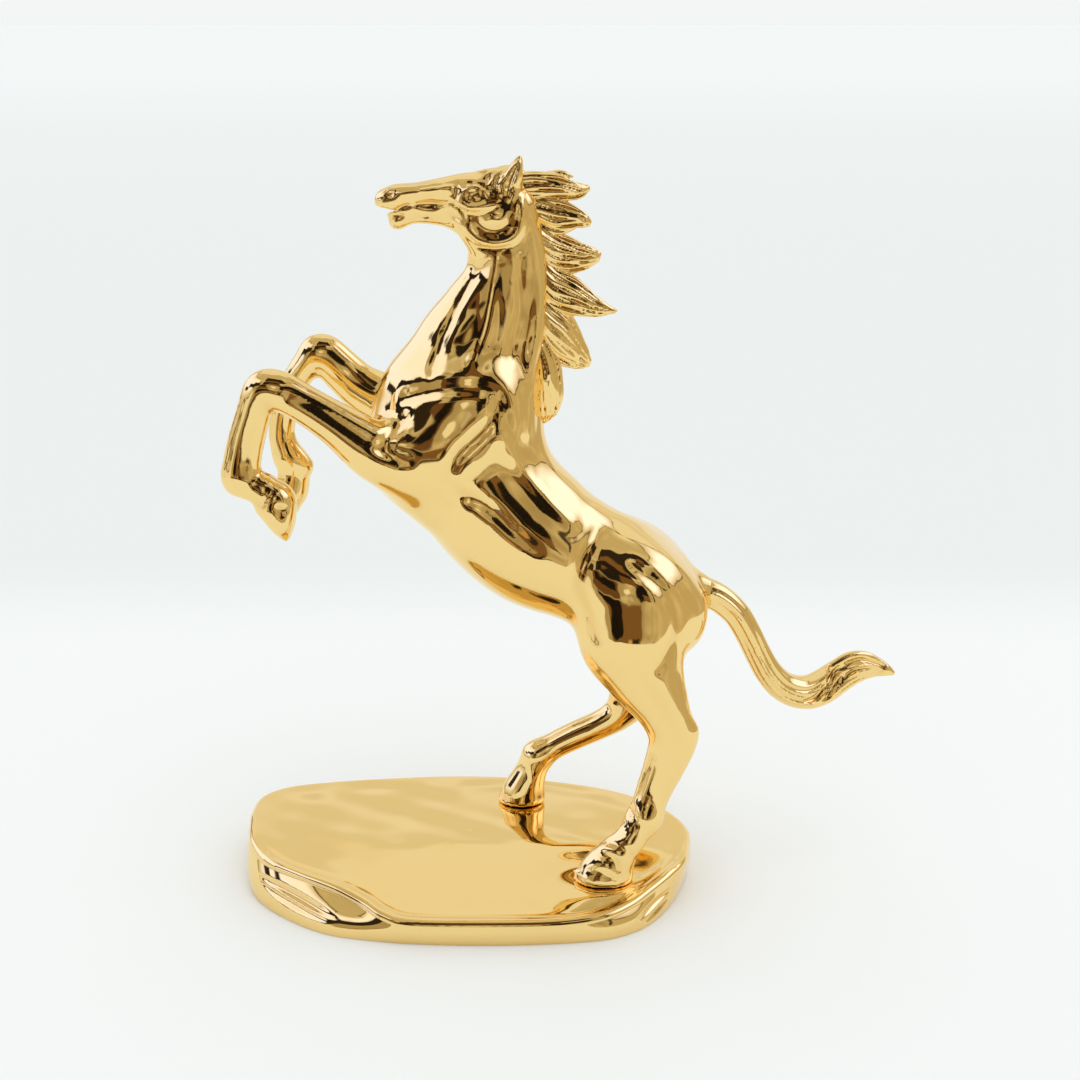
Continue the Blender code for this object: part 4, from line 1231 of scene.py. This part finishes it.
@dataclass
class Wiring:
    """The shader nodes of one tree, wired by short calls."""

    tree: bpy.types.NodeTree

    def feed(self, value: Source, socket: bpy.types.NodeSocket) -> None:
        """Link a socket to another one, or set its plain value.

        Args:
            value: The socket that gives the value, or a number or colour.
            socket: The socket that takes it.
        """
        if isinstance(value, bpy.types.NodeSocket):
            self.tree.links.new(value, socket)
        else:
            socket.default_value = value

    def maths(self, operation: str, *values: Source) -> bpy.types.NodeSocket:
        """Add a Math node.

        Args:
            operation: The node's operation.
            values: What it works on, in order.

        Returns:
            Its result.
        """
        node = self.tree.nodes.new("ShaderNodeMath")
        node.operation = operation
        for socket, value in zip(node.inputs, values):
            self.feed(value, socket)
        return node.outputs[0]

    def ramp(self, value: bpy.types.NodeSocket, start: float, end: float) -> bpy.types.NodeSocket:
        """Add an eased ramp.

        Args:
            value: What the ramp reads.
            start: The value that gives 0.
            end: The value that gives 1.

        Returns:
            The share, 3s² - 2s³ between the two.
        """
        node = self.tree.nodes.new("ShaderNodeMapRange")
        node.interpolation_type = "SMOOTHSTEP"
        self.feed(value, node.inputs["Value"])
        self.feed(start, node.inputs["From Min"])
        self.feed(end, node.inputs["From Max"])
        return node.outputs["Result"]

    def blend(self, share: bpy.types.NodeSocket, under: Source, over: Source) -> bpy.types.NodeSocket:
        """Lay one colour over another.

        Args:
            share: How much of the upper colour shows.
            under: The lower colour.
            over: The upper colour.

        Returns:
            The blended colour.
        """
        node = self.tree.nodes.new("ShaderNodeMix")
        node.data_type = "RGBA"
        self.feed(share, node.inputs["Factor"])
        self.feed(under, node.inputs["A"])
        self.feed(over, node.inputs["B"])
        return node.outputs["Result"]

    def noise(self, place: bpy.types.NodeSocket, scale: Source, detail: float) -> bpy.types.Node:
        """Add a Noise Texture.

        Args:
            place: The coordinates that it reads.
            scale: Its scale.
            detail: Its detail.

        Returns:
            The node.
        """
        node = self.tree.nodes.new("ShaderNodeTexNoise")
        self.feed(place, node.inputs["Vector"])
        self.feed(scale, node.inputs["Scale"])
        self.feed(detail, node.inputs["Detail"])
        return node


def plated_surface_group() -> bpy.types.NodeTree:
    """Build the effect that both gold finishes share.

    It is a soft ripple of the casting under its plating, faint smudges in the polish, and in creases a
    duller, rougher polish with a darker gold painted in as shade. The roughness runs from polished to
    smudged as the smudge noise rises from 0.35 to 0.72.

    Returns:
        The node group.
    """
    group = bpy.data.node_groups.new("plated surface", "ShaderNodeTree")
    for label in ("Ripple Scale", "Ripple Depth", "Smudge Scale", "Polished", "Smudged", "Crease Roughness"):
        group.interface.new_socket(name=label, in_out="INPUT", socket_type="NodeSocketFloat")
    for label in ("Open Gold", "Crease Shade Gold"):
        group.interface.new_socket(name=label, in_out="INPUT", socket_type="NodeSocketColor")
    for label, kind in (("Colour", "NodeSocketColor"), ("Roughness", "NodeSocketFloat"),
                        ("Normal", "NodeSocketVector")):
        group.interface.new_socket(name=label, in_out="OUTPUT", socket_type=kind)
    wiring = Wiring(group)
    nodes = group.nodes
    given = nodes.new("NodeGroupInput").outputs
    result = nodes.new("NodeGroupOutput").inputs
    place = nodes.new("ShaderNodeTexCoord").outputs["Object"]

    ripple = wiring.noise(place, given["Ripple Scale"], 1.0)
    bump = nodes.new("ShaderNodeBump")
    wiring.feed(1.0, bump.inputs["Strength"])
    wiring.feed(ripple.outputs["Fac"], bump.inputs["Height"])
    wiring.feed(given["Ripple Depth"], bump.inputs["Distance"])

    smudge = wiring.noise(place, given["Smudge Scale"], 4.0)
    polish = nodes.new("ShaderNodeMapRange")
    wiring.feed(smudge.outputs["Fac"], polish.inputs["Value"])
    wiring.feed(0.35, polish.inputs["From Min"])
    wiring.feed(0.72, polish.inputs["From Max"])
    wiring.feed(given["Polished"], polish.inputs["To Min"])
    wiring.feed(given["Smudged"], polish.inputs["To Max"])

    crease = nodes.new("ShaderNodeAttribute")
    crease.attribute_name = CREASE
    dull = nodes.new("ShaderNodeMix")
    wiring.feed(crease.outputs["Fac"], dull.inputs["Factor"])
    wiring.feed(polish.outputs["Result"], dull.inputs["A"])
    wiring.feed(given["Crease Roughness"], dull.inputs["B"])
    # Painted shade: the gold turns darker where the crease attribute is high.
    painted_shade_tint = wiring.blend(crease.outputs["Fac"], given["Open Gold"], given["Crease Shade Gold"])

    wiring.feed(painted_shade_tint, result["Colour"])
    wiring.feed(dull.outputs["Result"], result["Roughness"])
    wiring.feed(bump.outputs["Normal"], result["Normal"])
    return group


@dataclass(frozen=True)
class GoldFinish:
    """A mirror-polished gold plating. The ripple's depth is in metres."""

    name: str
    open_gold: Row = (0.94, 0.69, 0.285, 1.0)
    # The crease gold is painted shade: a darker gold laid into creases.
    crease_shade_gold: Row = (0.74, 0.44, 0.12, 1.0)
    polished: float = 0.035
    smudged: float = 0.085
    crease_roughness: float = 0.16
    ripple_scale: float = 70.0
    ripple_depth: float = 0.00004
    smudge_scale: float = 45.0

    def material(self, effect: bpy.types.NodeTree) -> bpy.types.Material:
        """Build the material round the shared effect.

        Args:
            effect: The node group of the plated surface.

        Returns:
            The material.
        """
        material = bpy.data.materials.new(self.name)
        material.use_nodes = True
        wiring = Wiring(material.node_tree)
        shader = material.node_tree.nodes["Principled BSDF"].inputs
        shader["Metallic"].default_value = 1.0
        surface = material.node_tree.nodes.new("ShaderNodeGroup")
        surface.node_tree = effect
        for label, value in (("Ripple Scale", self.ripple_scale), ("Ripple Depth", self.ripple_depth),
                             ("Smudge Scale", self.smudge_scale), ("Polished", self.polished),
                             ("Smudged", self.smudged), ("Crease Roughness", self.crease_roughness),
                             ("Open Gold", self.open_gold), ("Crease Shade Gold", self.crease_shade_gold)):
            wiring.feed(value, surface.inputs[label])
        wiring.feed(surface.outputs["Colour"], shader["Base Color"])
        wiring.feed(surface.outputs["Roughness"], shader["Roughness"])
        wiring.feed(surface.outputs["Normal"], shader["Normal"])
        return material


@dataclass(frozen=True)
class Panel:
    """A soft-edged patch of the studio that the polish reflects, placed round the figure in degrees.

    Azimuth 0 is towards the camera and 90 towards the tail.
    """

    azimuth: float
    elevation: float
    half_width: float
    half_height: float
    edge: float
    colour: Row

    def rim(self, wider: float, tone: Row) -> "Panel":
        """Return a larger panel with a crisp edge, to lie behind this one."""
        half_width, half_height = self.half_width + wider, self.half_height + wider
        return Panel(self.azimuth, self.elevation, half_width, half_height, 1.0, tone)


@dataclass(frozen=True)
class Lamp:
    """A round lamp in the studio, placed as a panel is."""

    azimuth: float
    elevation: float
    half_width: float
    half_height: float
    colour: Row


@dataclass
class Studio:
    """The pale floor and backdrop, the studio round them, the soft light and the camera.

    A softbox's rim gives how much wider it is, in degrees, and its colour. A painted shade of the paper
    gives the two places along y, in metres, between which the paper turns to it, and its colour; these
    shades stand in for how a backdrop would be lit.
    """

    pale: Row = (0.90, 0.92, 0.915, 1.0)
    white: Row = (0.90, 0.90, 0.89, 1.0)
    haze: Row = (0.86, 0.78, 0.60, 1.0)
    haze_share: float = 0.55
    haze_ramp: Row = (0.44, 0.72)
    lamp_ramp: Row = (1.08, 0.96)
    stray_scale: float = 3.2
    stray_azimuth: float = 14.0
    stray_elevation: float = 12.0
    panels: tuple[Panel, ...] = (
        Panel(0, 66, 120, 20, 8, (0.58, 0.52, 0.38, 1.0)),
        Panel(3, 10, 45, 28, 5, (0.42, 0.35, 0.22, 1.0)),
        Panel(-50, 24, 16, 15, 5, (0.42, 0.35, 0.22, 1.0)),
        Panel(88, 1, 46, 15, 6, (0.56, 0.48, 0.32, 1.0)),
        Panel(180, 20, 70, 1.5, 3, (0.78, 0.75, 0.66, 1.0)),
        Panel(-180, 20, 70, 1.5, 3, (0.78, 0.75, 0.66, 1.0)),
        Panel(180, 30, 70, 1.5, 4, (0.80, 0.77, 0.68, 1.0)),
        Panel(-180, 30, 70, 1.5, 4, (0.80, 0.77, 0.68, 1.0)),
    )
    softboxes: tuple[Panel, ...] = (
        Panel(-100, 26, 34, 13, 13, (1.15, 1.24, 1.95, 1.0)),
        Panel(90, 38, 29, 7, 15, (1.4, 1.5, 2.35, 1.0)),
    )
    softbox_rims: tuple[tuple[float, Row], ...] = (
        (13.6, (0.16, 0.11, 0.06, 1.0)),
        (12.2, (0.70, 0.64, 0.50, 1.0)),
    )
    patches: tuple[Panel, ...] = (
        Panel(-66, 41, 22, 3, 9, (1.15, 1.2, 1.7, 1.0)),
        Panel(-92, 14, 13, 2.6, 2, (0.03, 0.022, 0.018, 1.0)),
        Panel(-68, 22, 13, 4, 2, (0.02, 0.014, 0.012, 1.0)),
        Panel(-44, 27, 12, 5, 2, (0.03, 0.02, 0.014, 1.0)),
        Panel(8, 54, 28, 8, 3, (0.03, 0.02, 0.014, 1.0)),
        Panel(0, 45, 16, 4, 2, (0.20, 0.11, 0.045, 1.0)),
        Panel(-10, -5, 20, 4.5, 2, (0.20, 0.11, 0.045, 1.0)),
        Panel(-23, -3.4, 8, 2.6, 1.5, (0.012, 0.009, 0.008, 1.0)),
        Panel(-2, -7.5, 3, 1.2, 1.5, (0.55, 0.36, 0.16, 1.0)),
        Panel(3, -9, 4, 3, 2, (0.03, 0.02, 0.014, 1.0)),
        Panel(-24, 13, 9, 10, 2, (0.14, 0.07, 0.03, 1.0)),
        Panel(-21, 18, 4, 5, 1.5, (0.012, 0.009, 0.008, 1.0)),
        Panel(20, 17, 9, 14, 2, (0.012, 0.009, 0.008, 1.0)),
        Panel(-4, 34, 19, 8, 2, (0.02, 0.014, 0.012, 1.0)),
        Panel(2, 30, 11, 4, 2, (0.17, 0.09, 0.035, 1.0)),
        Panel(24, 8, 5, 4, 1.5, (0.20, 0.11, 0.045, 1.0)),
        Panel(44, 24, 1.6, 17, 1, (0.05, 0.035, 0.025, 1.0)),
        Panel(-14, -13.5, 30, 1.2, 1, (0.08, 0.055, 0.03, 1.0)),
    )
    lamps: tuple[Lamp, ...] = (
        Lamp(-3, 14, 5, 4.4, (0.92, 0.90, 0.86, 1.0)),
        Lamp(3, 6, 2.4, 2.4, (0.55, 0.52, 0.46, 1.0)),
    )
    paper: Row = (0.93, 0.94, 0.935, 1.0)
    paper_painted_shades: tuple[tuple[float, float, Row], ...] = (
        (0.25, 0.42, (0.845, 0.865, 0.86, 1.0)),
        (0.9, 10.0, (0.91, 0.93, 0.925, 1.0)),
    )
    table_radius: float = 0.66
    floor_radius: float = 60.0
    floor_level: float = -0.0004
    sun_place: Row = (0.3, -0.5, 1.5)
    sun_angle: float = 40.0
    sun_strength: float = 0.35
    camera_place: Row = (0.028, -0.620, 0.328)
    camera_tilt: float = 16.981
    camera_lens: float = 57.331

    def world(self) -> None:
        """Paint the studio that polished gold sees, and a pale ground for the camera and matt things.

        A direction's elevation is the arcsine of its z, and its azimuth the arctangent of x over -y. Soft
        noise leads both astray by a few degrees, so that nothing has a ruled edge. A panel's share is the
        product of two ramps: 1 inside its half width and half height, falling to 0 over its edge. A lamp's
        share falls from 1 to 0 where the root of its two squared offsets, each in half lengths, is about 1.
        """
        world = bpy.data.worlds.new("studio")
        bpy.context.scene.world = world
        world.use_nodes = True
        nodes = world.node_tree.nodes
        nodes.clear()
        wiring = Wiring(world.node_tree)
        maths, ramp, blend = wiring.maths, wiring.ramp, wiring.blend

        place = nodes.new("ShaderNodeTexCoord").outputs["Generated"]
        parts = nodes.new("ShaderNodeSeparateXYZ")
        wiring.feed(place, parts.inputs[0])
        x, y, z = (parts.outputs[label] for label in "XYZ")
        stray = nodes.new("ShaderNodeSeparateColor")
        wiring.feed(wiring.noise(place, self.stray_scale, 2.0).outputs["Color"], stray.inputs["Color"])
        aside, above, cloud = stray.outputs
        azimuth = maths("ADD", maths("DEGREES", maths("ARCTAN2", x, maths("MULTIPLY", y, -1.0))),
                        maths("MULTIPLY", maths("SUBTRACT", aside, 0.5), self.stray_azimuth))
        elevation = maths("ADD", maths("DEGREES", maths("ARCSINE", z)),
                          maths("MULTIPLY", maths("SUBTRACT", above, 0.5), self.stray_elevation))

        def painted(under: Source, panel: Panel) -> bpy.types.NodeSocket:
            """Return a colour with one panel painted over it."""
            across = maths("ABSOLUTE", maths("SUBTRACT", azimuth, panel.azimuth))
            along = maths("ABSOLUTE", maths("SUBTRACT", elevation, panel.elevation))
            share = maths("MULTIPLY", ramp(across, panel.half_width + panel.edge, panel.half_width),
                          ramp(along, panel.half_height + panel.edge, panel.half_height))
            return blend(share, under, panel.colour)

        colour = self.white
        for panel in self.panels:
            colour = painted(colour, panel)
        colour = blend(maths("MULTIPLY", ramp(cloud, *self.haze_ramp), self.haze_share), colour, self.haze)
        for panel in self.softboxes:
            for wider, tone in self.softbox_rims:
                colour = painted(colour, panel.rim(wider, tone))
            colour = painted(colour, panel)
        for panel in self.patches:
            colour = painted(colour, panel)
        for lamp in self.lamps:
            across = maths("DIVIDE", maths("SUBTRACT", azimuth, lamp.azimuth), lamp.half_width)
            along = maths("DIVIDE", maths("SUBTRACT", elevation, lamp.elevation), lamp.half_height)
            squares = maths("ADD", maths("MULTIPLY", across, across), maths("MULTIPLY", along, along))
            colour = blend(ramp(maths("SQRT", squares), *self.lamp_ramp), colour, lamp.colour)

        seen_by_polish = nodes.new("ShaderNodeLightPath").outputs["Is Glossy Ray"]
        ground = nodes.new("ShaderNodeBackground")
        wiring.feed(blend(seen_by_polish, self.pale, colour), ground.inputs["Color"])
        wiring.feed(ground.outputs[0], nodes.new("ShaderNodeOutputWorld").inputs["Surface"])

    def sheet(self, name: str, radius: float, level: float,
              material: bpy.types.Material) -> bpy.types.Object:
        """Lay a round level sheet of paper: rings of points at the radius times the square of a share.

        Args:
            name: The sheet's name.
            radius: Its radius in metres.
            level: Its height in metres.
            material: The paper.

        Returns:
            The new object.
        """
        rings, spokes = 24, 96
        reach = radius * ((np.arange(rings) + 1) / rings) ** 2
        turn = 2 * math.pi * np.arange(spokes) / spokes
        points = np.stack([reach[:, None] * np.cos(turn), reach[:, None] * np.sin(turn),
                           np.full((rings, spokes), level)], axis=-1).reshape(-1, 3)
        index = np.arange(rings * spokes).reshape(rings, spokes)
        after = np.roll(index, -1, axis=1)
        corners = (index[:-1], index[1:], after[1:], after[:-1])
        quads = np.column_stack([corner.ravel() for corner in corners])
        mesh = bpy.data.meshes.new(name)
        mesh.from_pydata(points.tolist(), [], quads.tolist() + [index[0].tolist()])
        mesh.materials.append(material)
        thing = bpy.data.objects.new(name, mesh)
        bpy.context.scene.collection.objects.link(thing)
        return thing

    def floor(self) -> None:
        """Lay the pale paper: a table that the polish reflects, and a wide sheet for the camera alone."""
        material = bpy.data.materials.new("pale paper")
        material.use_nodes = True
        wiring = Wiring(material.node_tree)
        nodes = material.node_tree.nodes
        shader = nodes["Principled BSDF"].inputs
        shader["Roughness"].default_value = 0.75
        shader["Specular IOR Level"].default_value = 0.15
        parts = nodes.new("ShaderNodeSeparateXYZ")
        wiring.feed(nodes.new("ShaderNodeTexCoord").outputs["Object"], parts.inputs[0])
        colour = self.paper
        # Painted shade: the paper turns darker from 0.25 m behind the figure and a little lighter again far
        # off, standing in for a backdrop's lighting.
        for start, end, tone in self.paper_painted_shades:
            colour = wiring.blend(wiring.ramp(parts.outputs["Y"], start, end), colour, tone)
        wiring.feed(colour, shader["Base Color"])
        self.sheet("table", self.table_radius, 0.0, material)
        self.sheet("floor", self.floor_radius, self.floor_level, material).visible_glossy = False

    def daylight(self) -> None:
        """Hang one wide soft sun that lights matt things; the polish sees the painted studio instead."""
        data = bpy.data.lights.new("daylight", "SUN")
        data.angle = math.radians(self.sun_angle)
        data.energy = self.sun_strength
        thing = bpy.data.objects.new("daylight", data)
        thing.location = self.sun_place
        thing.rotation_euler = (-Vector(self.sun_place)).to_track_quat("-Z", "Y").to_euler()
        thing.visible_glossy = False
        bpy.context.scene.collection.objects.link(thing)

    def camera(self) -> None:
        """Stand the camera in front of the sculpture's near side, looking down 17 degrees."""
        data = bpy.data.cameras.new("camera")
        data.lens = self.camera_lens
        data.sensor_width = 36.0
        thing = bpy.data.objects.new("camera", data)
        thing.location = self.camera_place
        thing.rotation_euler = (math.radians(90.0 - self.camera_tilt), 0.0, 0.0)
        bpy.context.scene.collection.objects.link(thing)
        bpy.context.scene.camera = thing

    def build(self) -> None:
        """Set up the whole stage."""
        self.world()
        self.floor()
        self.daylight()
        self.camera()
        bpy.context.scene.view_settings.view_transform = "Standard"


def main() -> None:
    """Build and dress the sculpture, its stage and its lights."""
    logging.basicConfig(level=logging.INFO, format="%(name)s: %(message)s")
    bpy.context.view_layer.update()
    effect = plated_surface_group()
    figure_gold = GoldFinish("figure gold").material(effect)
    slab_gold = GoldFinish("slab gold", ripple_scale=34.0, ripple_depth=0.0002).material(effect)
    Body().build(figure_gold)
    Mane().build(figure_gold)
    Tail().build(figure_gold)
    Slab().build(slab_gold)
    Studio().build()


if __name__ == "__main__":
    main()
